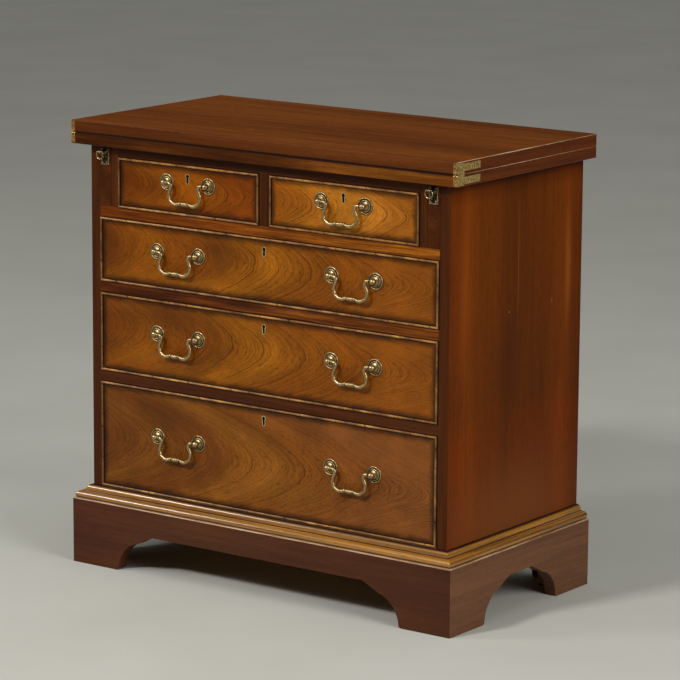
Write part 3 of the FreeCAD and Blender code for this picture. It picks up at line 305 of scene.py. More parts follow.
@dataclass(frozen=True)
class PolishedMahogany:
    """Mahogany, planed straight along the grain, stained and French polished.

    The eye sees soft ribbons a few centimetres wide, finer streaks in them, dark pore dashes
    along the fibres and a low satin gloss. Real pores are a few tenths of a millimetre wide, so
    these are drawn coarser.
    """

    name: str
    dark: str
    middle: str
    light: str
    roughness: float = 0.34
    polish_spread: tuple[float, float] = (-0.05, 0.06)
    wander_pitch: Triple = (2.2, 14.0, 14.0)
    wander_reach: float = 12.0 * MM
    ribbon: float = 34.0 * MM
    ribbon_length: float = 900.0 * MM
    streak: float = 5.0 * MM
    streak_slender: float = 40.0
    streak_share: float = 0.35
    tone_places: Triple = (0.34, 0.5, 0.66)
    pore_width: float = 1.2 * MM
    pore_length: float = 16.0 * MM
    pore_range: tuple[float, float] = (0.56, 0.74)
    pore_strength: float = 0.4
    pore_code: str = "#1c0a03"
    gloss: float = 0.1
    ior: float = 1.48
    shades: tuple[Shade, ...] = ()
    marks: tuple[Mark | GapShadeAndGrime, ...] = ()

    @cache
    def material(self, grain: Grain) -> Material:
        """Make the material for one way of the grain.

        Args:
            grain: the way the fibres run in the piece.

        Returns:
            The material, the same one each time.
        """
        made, tree = bare_material(f"{self.name}_{grain.name.lower()}")
        place = add(tree, "TexCoord", out="Object")
        fibres = add(tree, "Mapping", {"Vector": place, "Rotation": grain.value})
        # slow wander of the fibres, a few millimetres to each side
        wander = fibre_noise(tree, fibres, self.wander_pitch, 2.0, out="Color")
        reach = (0.0, self.wander_reach, self.wander_reach)
        bent = add(tree, "VectorMath", {0: wander, 1: reach, 2: fibres}, operation="MULTIPLY_ADD")
        across, thin, narrow = 1.0 / self.ribbon, 1.0 / self.streak, 1.0 / self.pore_width
        ribbons = fibre_noise(tree, bent, (1.0 / self.ribbon_length, across, across), 4.0, 0.6)
        streaks = fibre_noise(tree, bent, (thin / self.streak_slender, thin, thin), 3.0, 0.6)
        pores = fibre_noise(tree, bent, (1.0 / self.pore_length, narrow, narrow), 1.0)
        tone = add(tree, "Mix", {0: self.streak_share, 2: ribbons, 3: streaks}, data_type="FLOAT")
        colour = add(tree, "ValToRGB", {"Fac": tone},
                     stops=tuple(zip(self.tone_places, (self.dark, self.middle, self.light))))
        start, full = self.pore_range
        dashes = add(tree, "MapRange", {"Value": pores, "From Min": start, "From Max": full,
                                        "To Min": 0.0, "To Max": self.pore_strength})
        dressed = add(tree, "Mix", {0: dashes, 6: colour, 7: linear(self.pore_code)}, out=2,
                      data_type="RGBA")
        for layer in self.shades + self.marks:
            dressed = layer.apply(tree, place, dressed)
        keen, dull = self.polish_spread
        worn = add(tree, "MapRange", {"Value": ribbons, "From Min": 0.3, "From Max": 0.7,
                                      "To Min": self.roughness + keen,
                                      "To Max": self.roughness + dull})
        bump = add(tree, "Bump", {"Height": pores, "Strength": 0.08, "Distance": PORE_BUMP},
                   invert=True)
        shader = add(tree, "BsdfPrincipled", {
            "Base Color": dressed, "Roughness": worn, "Normal": bump, "IOR": self.ior,
            "Specular IOR Level": self.gloss})
        add(tree, "OutputMaterial", {"Surface": shader})
        return made


@dataclass(frozen=True)
class FiguredVeneer:
    """Mahogany veneer cut through a swirl, stained dark at its edges and French polished.

    The eye sees nested tongues that point to the right, a fine dark line at the edge of each
    year's growth, golden and red-brown clouds, short pores along the lines, and old stain with
    painted shade inside the beads. Years lie closer than a millimetre in real mahogany, so the lines
    are drawn coarser.
    """

    name: str
    edges: Edges
    heart: float
    plank: Stops
    outlines: tuple[float, ...] = (0.475, 0.545, 0.64, 0.86)
    outline_width: float = 1.9 * MM
    outline_strength: float = 0.75
    fall: float = 0.015
    seed: float = 0.0
    # noise scale and reach of each size of wave
    waves: tuple[tuple[float, Triple], ...] = (
        (5.0, (0.045, 0.0, 0.014)), (42.0, (0.010, 0.0, 0.003)), (150.0, (0.0042, 0.0, 0.0)))
    blunt: tuple[float, float] = (36.0, 120.0)
    keen_from: float = 0.7
    arm_lean: float = 0.07
    arm_spread: float = 4.0
    line_spacing: float = 7.0 * MM
    line_wobble: float = 9.0
    line_sharpness: float = 5.0
    line_faintest: float = 0.25
    line_strength: float = 0.55
    line_code: str = "#2a1003"
    streak_pitch: Triple = (200.0, 6.0, 10.0)
    cloud_pitch: float = 13.0
    value_span: tuple[float, float] = (0.62, 1.42)
    pore_pitch: Triple = (480.0, 110.0, 150.0)
    pore_range: tuple[float, float] = (0.54, 0.74)
    pore_strength: float = 0.55
    pore_code: str = "#1e0c03"
    # distances from the edge at which the stain and painted shade start and stop to fade, and their
    # strength
    broad_stain_and_shade: Triple = (-4.0 * MM, 9.0 * MM, 0.8)
    bead_stain_and_shade: Triple = (0.9 * MM, 3.8 * MM, 0.95)
    ragged_reach: float = 9.0 * MM
    stain_and_shade_code: str = "#140803"
    roughness: float = 0.3
    gloss: float = 0.1
    ior: float = 1.5
    clouds: tuple[Mark, ...] = ()

    @property
    def width(self) -> float:
        """Width of the veneer inside its beads."""
        return self.edges[1] - self.edges[0]

    def material(self) -> Material:
        """Make this drawer front's material.

        Returns:
            The material, on the object's own coordinates.
        """
        made, tree = bare_material(self.name)
        place = add(tree, "TexCoord", out="Object")
        bent, along, up = self.bent_sheet(tree, place)
        growth = self.growth(tree, along, up)
        share = add(tree, "Math", {0: growth, 1: 1.0 / self.width}, operation="MULTIPLY")
        plank = add(tree, "ValToRGB", {"Fac": share}, stops=self.plank)
        sheet = add(tree, "CombineXYZ", {0: growth, 1: along, 2: up})
        streaks = fibre_noise(tree, sheet, self.streak_pitch, 5.0, 0.8)
        pores = fibre_noise(tree, sheet, self.pore_pitch, 1.0)
        cloud = add(tree, "TexNoise", {"Vector": bent, "Scale": self.cloud_pitch, "Detail": 2.0},
                    out="Fac")
        tone = add(tree, "Math", {0: cloud, 1: 0.5, 2: streaks}, operation="MULTIPLY_ADD")
        darkest, lightest = self.value_span
        value = add(tree, "MapRange", {"Value": tone, "From Min": 0.55, "From Max": 0.95,
                                       "To Min": darkest, "To Max": lightest})
        colour = add(tree, "HueSaturation", {"Color": plank, "Value": value})
        for patch in self.clouds:
            colour = patch.apply(tree, place, colour)
        lines = self.year_lines(tree, growth, share, cloud)
        start, full = self.pore_range
        dashes = add(tree, "MapRange", {"Value": pores, "From Min": start, "From Max": full,
                                        "To Min": 0.0, "To Max": self.pore_strength})
        edge = self.edge_stain_and_shade(tree, place)
        for cover, code in ((lines, self.line_code), (dashes, self.pore_code),
                            (edge, self.stain_and_shade_code)):
            colour = add(tree, "Mix", {0: cover, 6: colour, 7: linear(code)}, out=2,
                         data_type="RGBA")
        bump = add(tree, "Bump", {"Height": pores, "Strength": 0.06, "Distance": PORE_BUMP},
                   invert=True)
        shader = add(tree, "BsdfPrincipled", {
            "Base Color": colour, "Roughness": self.roughness, "Normal": bump, "IOR": self.ior,
            "Specular IOR Level": self.gloss})
        add(tree, "OutputMaterial", {"Surface": shader})
        return made

    def bent_sheet(self, tree: Tree, place: Socket) -> tuple[Socket, Socket, Socket]:
        """Lay the sheet on the front and bend its fibres in three sizes of wave.

        Args:
            tree: the material's nodes.
            place: object coordinates.

        Returns:
            The bent place, the distance along the front and the height over the heart.
        """
        # the noise is half on average
        lag = [0.5 * sum(reach[i] for _, reach in self.waves) for i in range(3)]
        corner = (-self.edges[0] - lag[0], self.seed, -self.heart - lag[2])
        start = bent = add(tree, "Mapping", {"Vector": place, "Location": corner})
        for scale, reach in self.waves:
            noise = add(tree, "TexNoise", {"Vector": start, "Scale": scale, "Detail": 2.0},
                        out="Color")
            bent = add(tree, "VectorMath", {0: noise, 1: reach, 2: bent}, operation="MULTIPLY_ADD")
        along, level = (add(tree, "SeparateXYZ", {0: bent}, out=axis) for axis in (0, 2))
        up = add(tree, "Math", {0: along, 1: self.fall, 2: level}, operation="MULTIPLY_ADD")
        return bent, along, up

    def growth(self, tree: Tree, along: Socket, up: Socket) -> Socket:
        """Number the tongues: equal values lie on one nested tongue.

        Args:
            tree: the material's nodes.
            along: distance along the front.
            up: height over the heart.

        Returns:
            Distance along the heart at which the tongue's tip lies.
        """
        off = add(tree, "Math", {0: up}, operation="ABSOLUTE")
        # arms under the heart run steeper than those over it
        upper = add(tree, "Math", {0: up, 1: 1.0 - self.arm_lean}, operation="MULTIPLY")
        reach = add(tree, "Math", {0: off, 1: self.arm_lean, 2: upper}, operation="MULTIPLY_ADD")
        square = add(tree, "Math", {0: reach, 1: reach}, operation="MULTIPLY")
        blunt, keen = self.blunt
        sharpness = add(tree, "MapRange", {"Value": along, "From Min": self.keen_from * self.width,
                                           "From Max": self.width, "To Min": blunt, "To Max": keen})
        rise = add(tree, "Math", {0: square, 1: sharpness}, operation="MULTIPLY")
        ease = add(tree, "Math", {0: off, 1: self.arm_spread, 2: 1.0}, operation="MULTIPLY_ADD")
        arm = add(tree, "Math", {0: rise, 1: ease}, operation="DIVIDE")
        return add(tree, "Math", {0: along, 1: arm}, operation="ADD")

    def year_lines(self, tree: Tree, growth: Socket, share: Socket, cloud: Socket) -> Socket:
        """Draw the edge of each year's growth, and the few that stand out.

        Args:
            tree: the material's nodes.
            growth: the tongues' numbering.
            share: the same, as a share of the front's width.
            cloud: slow noise that lets the lines come and go.

        Returns:
            Strength of the lines, from none to one.
        """
        uneven = add(tree, "TexNoise", {"W": growth, "Scale": 14.0, "Detail": 1.0}, out="Fac",
                     noise_dimensions="1D")
        count = add(tree, "Math", {0: growth, 1: 1.0 / self.line_spacing}, operation="MULTIPLY")
        years = add(tree, "Math", {0: uneven, 1: self.line_wobble, 2: count}, operation="MULTIPLY_ADD")
        part, whole = (add(tree, "Math", {0: years}, operation=kind) for kind in ("FRACT", "FLOOR"))
        each = add(tree, "TexWhiteNoise", {"W": whole}, out="Value", noise_dimensions="1D")
        late = add(tree, "Math", {0: part, 1: self.line_sharpness}, operation="POWER")
        weight = add(tree, "MapRange", {"Value": each, "To Min": self.line_faintest,
                                        "To Max": self.line_strength})
        fade = add(tree, "MapRange", {"Value": cloud, "From Min": 0.4, "From Max": 0.62, "To Min": 1.0,
                                      "To Max": 0.4})
        line = add(tree, "Math", {0: late, 1: weight}, operation="MULTIPLY")
        lines = add(tree, "Math", {0: line, 1: fade}, operation="MULTIPLY")
        for outline in self.outlines:
            beside = add(tree, "Math", {0: share, 1: outline}, operation="SUBTRACT")
            off = add(tree, "Math", {0: beside}, operation="ABSOLUTE")
            strong = add(tree, "MapRange", {"Value": off, "From Min": 0.0, "To Max": 0.0,
                                            "From Max": self.outline_width / self.width,
                                            "To Min": self.outline_strength})
            lines = add(tree, "Math", {0: lines, 1: strong}, operation="MAXIMUM")
        return lines

    def edge_stain_and_shade(self, tree: Tree, place: Socket) -> Socket:
        """Stain and painted shade that fade from the beads inwards.

        Args:
            tree: the material's nodes.
            place: object coordinates.

        Returns:
            Strength of the stain and painted shade, from none to one.
        """
        beyond = beyond_edges(tree, place, self.edges)
        inside = add(tree, "Math", {0: beyond, 1: -1.0}, operation="MULTIPLY")
        ragged = add(tree, "TexNoise", {"Vector": place, "Scale": 45.0, "Detail": 3.0}, out="Fac")
        distance = add(tree, "Math", {0: ragged, 1: -self.ragged_reach, 2: inside},
                       operation="MULTIPLY_ADD")
        stains = []
        for value, (clear, faded, strength), ramp in ((distance, self.broad_stain_and_shade, "SMOOTHSTEP"),
                                                      (inside, self.bead_stain_and_shade, "LINEAR")):
            stains.append(add(tree, "MapRange", {"Value": value, "From Min": clear, "From Max": faded,
                                                 "To Min": strength, "To Max": 0.0},
                              interpolation_type=ramp))
        return add(tree, "Math", dict(enumerate(stains)), operation="MAXIMUM")


@dataclass(frozen=True)
class BeadWood:
    """Cock bead of pale mahogany, scraped round and polished, with dark nicks.

    The eye sees a thin light line with painted shade along its feet, cut across by small dark dents of
    age.
    """

    name: str
    dark: str
    base: str
    light: str
    nick: str = "#1d0d04"
    nick_pitch: float = 54.0 * MM
    nick_share: float = 0.055
    nick_strength: float = 0.8
    nick_wobble: float = 2.0
    tone_pitch: float = 40.0
    crest: float = -186.9 * MM
    foot: float = -185.3 * MM
    dirt_strength: float = 0.95
    roughness: float = 0.28
    ior: float = 1.48
    clean_gloss: float = 0.45
    dirty_gloss: float = 0.03

    @cache
    def material(self) -> Material:
        """Make the bead's material, the same one each time.

        Returns:
            The material.
        """
        made, tree = bare_material(self.name)
        place = add(tree, "TexCoord", out="Object")
        tone = add(tree, "TexNoise", {"Vector": place, "Scale": self.tone_pitch, "Detail": 3.0},
                   out="Fac")
        colour = add(tree, "ValToRGB", {"Fac": tone},
                     stops=((0.3, self.dark), (0.5, self.base), (0.7, self.light)))
        # uneven dents across the bead, wherever it runs
        x, depth, z = (add(tree, "SeparateXYZ", {0: place}, out=axis) for axis in range(3))
        along = add(tree, "Math", {0: x, 1: z}, operation="ADD")
        uneven = add(tree, "TexNoise", {"W": along, "Scale": 9.0, "Detail": 0.0}, out="Fac",
                     noise_dimensions="1D")
        count = add(tree, "Math", {0: along, 1: 1.0 / self.nick_pitch}, operation="MULTIPLY")
        bent = add(tree, "Math", {0: uneven, 1: self.nick_wobble, 2: count}, operation="MULTIPLY_ADD")
        part = add(tree, "Math", {0: bent}, operation="FRACT")
        dents = add(tree, "MapRange", {"Value": part, "From Min": 0.5 * self.nick_share,
                                       "From Max": self.nick_share, "To Min": self.nick_strength,
                                       "To Max": 0.0})
        # painted shade along both feet of the round, darker towards the drawer's face
        dirt = add(tree, "MapRange", {"Value": depth, "From Min": self.crest, "From Max": self.foot,
                                      "To Min": 0.0, "To Max": self.dirt_strength},
                   interpolation_type="SMOOTHSTEP")
        cover = add(tree, "Math", {0: dents, 1: dirt}, operation="MAXIMUM")
        nicked = add(tree, "Mix", {0: cover, 6: colour, 7: linear(self.nick)}, out=2,
                     data_type="RGBA")
        bump = add(tree, "Bump", {"Height": dents, "Strength": 0.15, "Distance": PORE_BUMP},
                   invert=True)
        shine = add(tree, "MapRange", {"Value": cover, "To Min": self.clean_gloss,
                                       "To Max": self.dirty_gloss})
        shader = add(tree, "BsdfPrincipled", {
            "Base Color": nicked, "Roughness": self.roughness, "Normal": bump, "IOR": self.ior,
            "Specular IOR Level": shine})
        add(tree, "OutputMaterial", {"Surface": shader})
        return made


@dataclass(frozen=True)
class AgedBrass:
    """Cast brass, once lacquered, rubbed bright on its crests and dark in its hollows.

    The eye sees pale gold highlights, an olive-brown skin in the hollows and a soft shine.
    """

    name: str
    bright: str = "#b1976a"
    skin: str = "#44351b"
    roughness: float = 0.34
    mottle: float = 3.5 * MM
    skin_range: tuple[float, float] = (0.4, 0.68)
    skin_share: float = 0.5
    hollow_share: float = 0.8
    skin_dullness: float = 0.22

    @cache
    def material(self) -> Material:
        """Make the brass, the same one each time.

        Returns:
            The material.
        """
        made, tree = bare_material(self.name)
        place = add(tree, "TexCoord", out="Object")
        hollow = add(tree, "Attribute", out="Fac", attribute_name=HOLLOW)
        blotch = add(tree, "TexNoise", {"Vector": place, "Scale": 1.0 / self.mottle, "Detail": 4.0,
                                        "Roughness": 0.6}, out="Fac")
        start, full = self.skin_range
        amount = add(tree, "MapRange", {"Value": blotch, "From Min": start, "From Max": full,
                                        "To Min": 0.0, "To Max": self.skin_share})
        total = add(tree, "Math", {0: hollow, 1: self.hollow_share, 2: amount},
                    operation="MULTIPLY_ADD", use_clamp=True)
        colour = add(tree, "Mix", {0: total, 6: linear(self.bright), 7: linear(self.skin)}, out=2,
                     data_type="RGBA")
        dull = add(tree, "MapRange", {"Value": total, "To Min": self.roughness,
                                      "To Max": self.roughness + self.skin_dullness})
        bump = add(tree, "Bump", {"Height": blotch, "Strength": 0.12, "Distance": PORE_BUMP})
        shader = add(tree, "BsdfPrincipled", {"Base Color": colour, "Metallic": 1.0, "Roughness": dull,
                                              "Normal": bump})
        add(tree, "OutputMaterial", {"Surface": shader})
        return made


TOP_MAHOGANY = PolishedMahogany(
    "polished_top", "#532707", "#69360b", "#7b410f", ribbon=70.0 * MM, streak=6.0 * MM,
    streak_share=0.42, pore_strength=0.6, marks=(
        Mark((-187.0, -84.5, 780.7), (8.0, 1.2, 6.0), "#a9764c", 0.6, turn=(0.0, 0.0, 0.35)),
        Mark((-87.5, -108.0, 780.7), (11.0, 1.2, 6.0), "#a9764c", 0.5, turn=(0.0, 0.0, 1.5))))
LEAF_END_MAHOGANY = PolishedMahogany(
    "polished_leaf_end", "#431b05", "#572708", "#66300a", ribbon=70.0 * MM, streak=6.0 * MM,
    streak_share=0.42, pore_strength=0.6)
UPPER_EDGE_MAHOGANY = PolishedMahogany(
    "polished_leaf_edge", "#50270b", "#63320e", "#713b12", ribbon=24.0 * MM, shades=(
        # painted shade: the front edge darker towards its left end
        Shade(0, -0.4, 0.4, ((0.0, "#ccc0a8"), (0.4, "#dcd4c8"), (0.8, "#ffffff")), 0.05),))
LOWER_EDGE_MAHOGANY = PolishedMahogany(
    "figured_leaf_edge", "#462107", "#673708", "#894f16", ribbon=16.0 * MM, ribbon_length=170.0 * MM,
    shades=(
        Shade(0, -0.4, 0.4, ((0.0, "#a09080"), (0.45, "#b0a090"), (0.8, "#ffffff")), 0.05),))
SIDE_MAHOGANY = PolishedMahogany(
    "polished_side", "#622d05", "#6f3606", "#7a3c08", ribbon=60.0 * MM, ribbon_length=1500.0 * MM,
    streak=4.0 * MM, streak_share=0.46, pore_strength=0.45, gloss=0.04, shades=(
        # sapwood shows light near the front and the back
        Shade(1, -0.185, 0.21, (
            (0.0, "#e8dcd0"), (0.05, "#f4e0cc"), (0.12, "#fff2d4"), (0.24, "#e4dace"),
            (0.42, "#ccc8c2"), (0.55, "#ccc8c2"), (0.8, "#dcd2c4"), (0.88, "#f0e2ce"),
            (0.95, "#d2c2b2"), (1.0, "#c6b2a6")), 0.05),
        Shade(2, 0.138, 0.74, (
            (0.0, "#f4e4f0"), (0.27, "#fff0ff"), (0.38, "#ececec"), (0.7, "#f8f8f8"),
            (1.0, "#ffffff")), 0.08),
        # painted shadow under the top's overhang
        Shade(2, 0.7, 0.74, ((0.0, "#ffffff"), (0.55, "#dcd0c8"), (1.0, "#6c5c50")))),
    marks=(Mark((374.0, 10.0, 150.0), (30.0, 330.0, 170.0), "#74431f", 0.55, soft=1.0),
           Mark((374.0, -140.0, 560.0), (30.0, 22.0, 190.0), "#8a4210", 0.45, soft=1.0),
           Mark((374.0, 168.0, 560.0), (30.0, 14.0, 160.0), "#935013", 0.45, soft=1.0),
           Mark((374.0, -10.0, 430.0), (30.0, 60.0, 110.0), "#3b1c0b", 0.4, soft=1.0),
           Mark((374.0, 16.0, 590.0), (8.0, 1.3, 130.0), "#8a5526", 0.45),
           Mark((374.0, -9.7, 507.0), (8.0, 3.0, 3.4), "#a5602c", 0.4),
           Mark((374.0, 118.5, 508.0), (8.0, 3.4, 6.0), "#a5602c", 0.25)))
# painted shade of the gaps and the beads, with some dirt, round every drawer opening
OPENING_SHADE_AND_GRIME = GapShadeAndGrime(tuple((low.x, high.x, low.z, high.z) for low, high in (
    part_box(f"{name}_front") for name in DRAWER_NAMES)))
STILE_MAHOGANY = PolishedMahogany("polished_stile", "#2f1203", "#411c04", "#522706",
                                  marks=(OPENING_SHADE_AND_GRIME,))
UPPER_RAIL_MAHOGANY = PolishedMahogany(
    "figured_upper_rail", "#451e03", "#7c4209", "#b06713", ribbon=12.0 * MM, ribbon_length=150.0 * MM,
    streak=3.0 * MM, streak_share=0.5, marks=(OPENING_SHADE_AND_GRIME,), shades=(
        Shade(0, -0.37, 0.37, ((0.0, "#d0b8a8"), (0.4, "#e0ccc0"), (0.7, "#ffffff")), 0.05),))
MIDDLE_RAIL_MAHOGANY = PolishedMahogany(
    "figured_middle_rail", "#331303", "#602f0b", "#965414", ribbon=12.0 * MM, ribbon_length=160.0 * MM,
    streak=3.0 * MM, streak_share=0.5, marks=(
        Mark((-40.0, -184.8, 493.5), (110.0, 9.0, 6.0), "#250f07", 0.7, soft=0.9),
        Mark((-190.0, -184.8, 491.0), (70.0, 9.0, 4.0), "#341608", 0.5, soft=0.9), OPENING_SHADE_AND_GRIME),
    shades=(
        Shade(0, -0.37, 0.37, ((0.0, "#b8a494"), (0.45, "#c8b8a8"), (0.6, "#ffffff")), 0.05),))
LOWER_RAIL_MAHOGANY = PolishedMahogany("plain_lower_rail", "#2f1208", "#462009", "#582e11",
                                       ribbon=18.0 * MM, marks=(OPENING_SHADE_AND_GRIME,))
PLINTH_MAHOGANY = PolishedMahogany(
    "polished_plinth", "#381b0a", "#4b2711", "#5a3216", ribbon=60.0 * MM, gloss=0.2, roughness=0.4,
    shades=(Shade(0, -0.4, 0.4, (
        (0.0, "#f0dcd0"), (0.3, "#ffffff"), (0.7, "#f0e8e0"), (1.0, "#d8ccc8")), 0.05),))
PLINTH_SIDE_MAHOGANY = PolishedMahogany("polished_plinth_side", "#492917", "#5d3a24", "#6d472d",
                                        ribbon=60.0 * MM, gloss=0.2, roughness=0.4)
# lighter, glossier wood for rounded arrises: wear with a painted highlight
WORN_AND_LIT_ARRIS = PolishedMahogany("worn_arris_highlight", "#7e5534", "#a9815b", "#c9aa86", ribbon=5.0 * MM,
                              ribbon_length=60.0 * MM, gloss=0.8, roughness=0.3)
# dark matt wood, as painted shade in the seam between the leaves and on the moulding's ledge
SEAM_SHADE = PolishedMahogany("painted_seam_shade", "#1a0c05", "#27130a", "#3c2010", gloss=0.05, roughness=0.6)
MOULDING_MAHOGANY = PolishedMahogany(
    "polished_moulding", "#69420f", "#9a671b", "#be852c", ribbon=14.0 * MM, gloss=1.0, roughness=0.2,
    shades=(
        # painted shade in the quirk, under the round and along the top beside the case
        Shade(2, 0.1155, 0.138, (
            (0.0, "#20140c"), (0.07, "#b0a090"), (0.2, "#ffffff"), (0.53, "#e8e0d8"),
            (0.55, "#30241c"), (0.58, "#30241c"), (0.6, "#d8d0c8"), (0.88, "#ffffff"),
            (0.95, "#705c50"), (1.0, "#30221a"))),))
# oak, planed and left bare: pale brown, straight in the grain and dull
SECONDARY_WOOD = PolishedMahogany("planed_oak", "#8a6238", "#a57c4c", "#bd9663", roughness=0.62,
                                  gloss=0.3)
HANDLE_BRASS = AgedBrass("cast_handle_brass")
HINGE_BRASS = AgedBrass("filed_hinge_brass", bright="#ffda8a", skin="#4c3612", mottle=3.0 * MM,
                        skin_share=0.9, roughness=0.3)
# a darker copy of the hinge brass on the plates' fronts, as painted shade
SHADED_HINGE_FRONT_BRASS = AgedBrass("shaded_hinge_front_brass", bright="#d8a864", skin="#2c1a0a",
                              mottle=3.0 * MM, skin_share=1.0, roughness=0.3)
PULL_BRASS = AgedBrass("aged_pull_brass", bright="#b59c74", skin="#160e07", mottle=2.4 * MM,
                       skin_share=1.0, roughness=0.24)
LOCK_BRASS = AgedBrass("rolled_lock_brass", bright="#8a7650", skin="#1c1408", skin_share=1.0,
                       roughness=0.4)
ESCUTCHEON_BRASS = AgedBrass("polished_escutcheon_brass", bright="#e0c896", skin="#7a6232",
                             mottle=6.0 * MM, roughness=0.3)
LEVEL_BEAD = BeadWood("scraped_level_bead", "#54310f", "#865720", "#b8843f")
# the upright beads get a darker copy of the bead wood, as painted shade
SHADED_UPRIGHT_BEAD = BeadWood("shaded_upright_bead", "#43260e", "#6a441b", "#8d6534")


# ---- Mesh helpers -----------------------------------------------------------------
def finish_piece(name: str, node: str, mesh: Mesh, body: str, slot: str, *materials: Material) -> None:
    """Turn a bmesh into a piece that stands for a CAD node and rides on a body.

    Args:
        name: the piece's name.
        node: the node it replaces.
        mesh: its shape, in the chest's frame; freed here.
        body: the body it rides on.
        slot: the record's material slot; not used.
        materials: its finishes, by slot number.
    """
    data = bpy.data.meshes.new(name)
    mesh.to_mesh(data)
    mesh.free()
    for material in materials:
        data.materials.append(material)
    data.shade_smooth()
    data.set_sharp_from_angle(angle=SHARP_ANGLE)
    piece = bpy.data.objects.new(name, data)
    bpy.context.scene.collection.objects.link(piece)
    piece.modifiers.new("even_shading", "WEIGHTED_NORMAL").keep_sharp = True
    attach(piece, body)
    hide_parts(node)
    log.info("%s: %d faces on %s", name, len(data.polygons), body)


def islands(mesh: Mesh) -> list[list[bmesh.types.BMFace]]:
    """Sort a mesh's faces into its separate solids.

    Args:
        mesh: the boards.

    Returns:
        The faces of each solid.
    """
    waiting = set(mesh.faces)
    found = []
    while waiting:
        group, edge = [], [waiting.pop()]
        while edge:
            face = edge.pop()
            group.append(face)
            near = {f for e in face.edges for f in e.link_faces} & waiting
            waiting -= near
            edge += near
        found.append(group)
    return found


def longest_side(faces: list[bmesh.types.BMFace]) -> Grain:
    """Choose the grain along a board's longest side.

    Args:
        faces: the board's faces.

    Returns:
        The way of its grain.
    """
    places = [v.co for f in faces for v in f.verts]
    spans = [max(p[i] for p in places) - min(p[i] for p in places) for i in range(3)]
    return list(Grain)[spans.index(max(spans))]


def merged_copy(node: str) -> Mesh:
    """Copy a CAD node's loose triangles and merge them into solid boards.

    Args:
        node: the CAD node's name.

    Returns:
        A bmesh with whole flat faces.
    """
    mesh = bmesh.new()
    mesh.from_mesh(frame["nodes"][node].data)
    bmesh.ops.remove_doubles(mesh, verts=mesh.verts, dist=MERGE_GAP)
    bmesh.ops.dissolve_limit(mesh, angle_limit=FLAT_ANGLE, verts=mesh.verts, edges=mesh.edges)
    return mesh


def ease_arrises(mesh: Mesh, width: float, shortest: float) -> None:
    """Round the long sharp edges a little, as hand polishing does.

    Args:
        mesh: the boards.
        width: how far the rounding reaches.
        shortest: edges shorter than this stay sharp.
    """
    edges = [e for e in mesh.edges
             if e.is_manifold and e.calc_length() > shortest and e.calc_face_angle(0.0) > SHARP_ANGLE
             and e.is_convex]
    bmesh.ops.bevel(mesh, geom=edges, offset=width, offset_type="OFFSET", segments=2, profile=0.5,
                    affect="EDGES", clamp_overlap=True, material=-1)


@dataclass
class Facing:
    """Another wood on the faces of a board that pass a test on middle and normal."""

    wood: PolishedMahogany
    grain: Grain
    test: Callable[[Vector, Vector], bool]


def boards(name: str, node: str, body: str, slot: str, wood: PolishedMahogany, ease: float,
           grain: Grain | None = None, shortest: float = 8.0 * MM,
           facings: tuple[Facing, ...] = ()) -> None:
    """Eased and polished boards that stand for a CAD node.

    Args:
        name: the piece's name.
        node: the node it replaces.
        body: the body it rides on.
        slot: the record's material slot.
        wood: its finish.
        ease: rounding of its arrises.
        grain: way of the grain, or None for the longest side of each board.
        shortest: edges shorter than this stay sharp.
        facings: other woods on some faces; the first that fits holds.
    """
    mesh = merged_copy(node)
    finishes = []
    for solid in islands(mesh):
        way = grain or longest_side(solid)
        plain = wood.material(way)
        for face in solid:
            middle = face.calc_center_median()
            finish = next((f.wood.material(f.grain) for f in facings if f.test(middle, face.normal)),
                          plain)
            if finish not in finishes:
                finishes.append(finish)
            face.material_index = finishes.index(finish)
    ease_arrises(mesh, ease, shortest)
    finish_piece(name, node, mesh, body, slot, *finishes)


def metal_part(name: str, node: str, body: str, slot: str, *brasses: AgedBrass,
               ease: float = 0.25 * MM) -> None:
    """Filed and eased metal that stands for a CAD node.

    Args:
        name: the piece's name.
        node: the node it replaces.
        body: the body it rides on.
        slot: the record's material slot.
        brasses: its finish, then one for the front rim: escutcheon brass, and painted shade on hinges.
        ease: rounding of its arrises.
    """
    mesh = merged_copy(node)
    ease_arrises(mesh, ease, METAL_SHORTEST)
    if len(brasses) > 1:
        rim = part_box(node)[0].y + RIM_DEPTH
        for face in mesh.faces:
            face.material_index = int(face.calc_center_median().y < rim)
    finish_piece(name, node, mesh, body, slot, *(brass.material() for brass in brasses))


class Turning(Enum):
    """Line that a turned part lies along, with the turn that brings up-pointing parts to it."""

    FORWARD = Matrix.Rotation(math.pi / 2.0, 4, "X")
    ACROSS = Matrix.Rotation(math.pi / 2.0, 4, "Y")


def metal_mesh() -> Mesh:
    """Start a mesh that notes where dirt lies.

    Returns:
        An empty bmesh with a layer for the dirt.
    """
    mesh = bmesh.new()
    mesh.verts.layers.float.new(HOLLOW)
    return mesh


def pointed(profile: Profile, side: float) -> Profile:
    """Turn a lathe profile end for end where the side is below zero."""
    return tuple((radius, side * along, dirt) for radius, along, dirt in profile)


def both_ways(half: Profile) -> Profile:
    """Complete a profile, given from its far end to its middle, with its mirror image."""
    return pointed(half, -1.0) + tuple(station for station in reversed(half) if station[1] > 0.0)


def turn_part(mesh: Mesh, profile: Profile, middle: Vector, turning: Turning, steps: int = 40) -> None:
    """Add a part turned on a lathe.

    Args:
        mesh: what it is added to.
        profile: (radius, distance along the line, hollow) stations in millimetres; hollow runs
            from none to one where dirt lies.
        middle: where the line's zero lies.
        turning: the way that the line points.
        steps: faces round the part.
    """
    part = metal_mesh()
    hollow = part.verts.layers.float[HOLLOW]
    verts = []
    for radius, along, dirt in profile:
        vert = part.verts.new((radius * MM, 0.0, along * MM))
        vert[hollow] = dirt
        verts.append(vert)
    edges = [part.edges.new(pair) for pair in zip(verts, verts[1:])]
    bmesh.ops.spin(part, geom=verts + edges, axis=(0.0, 0.0, 1.0), angle=2.0 * math.pi, steps=steps,
                   use_merge=True)
    bmesh.ops.transform(part, matrix=Matrix.Translation(middle) @ turning.value, verts=part.verts)
    close_and_join(mesh, part)


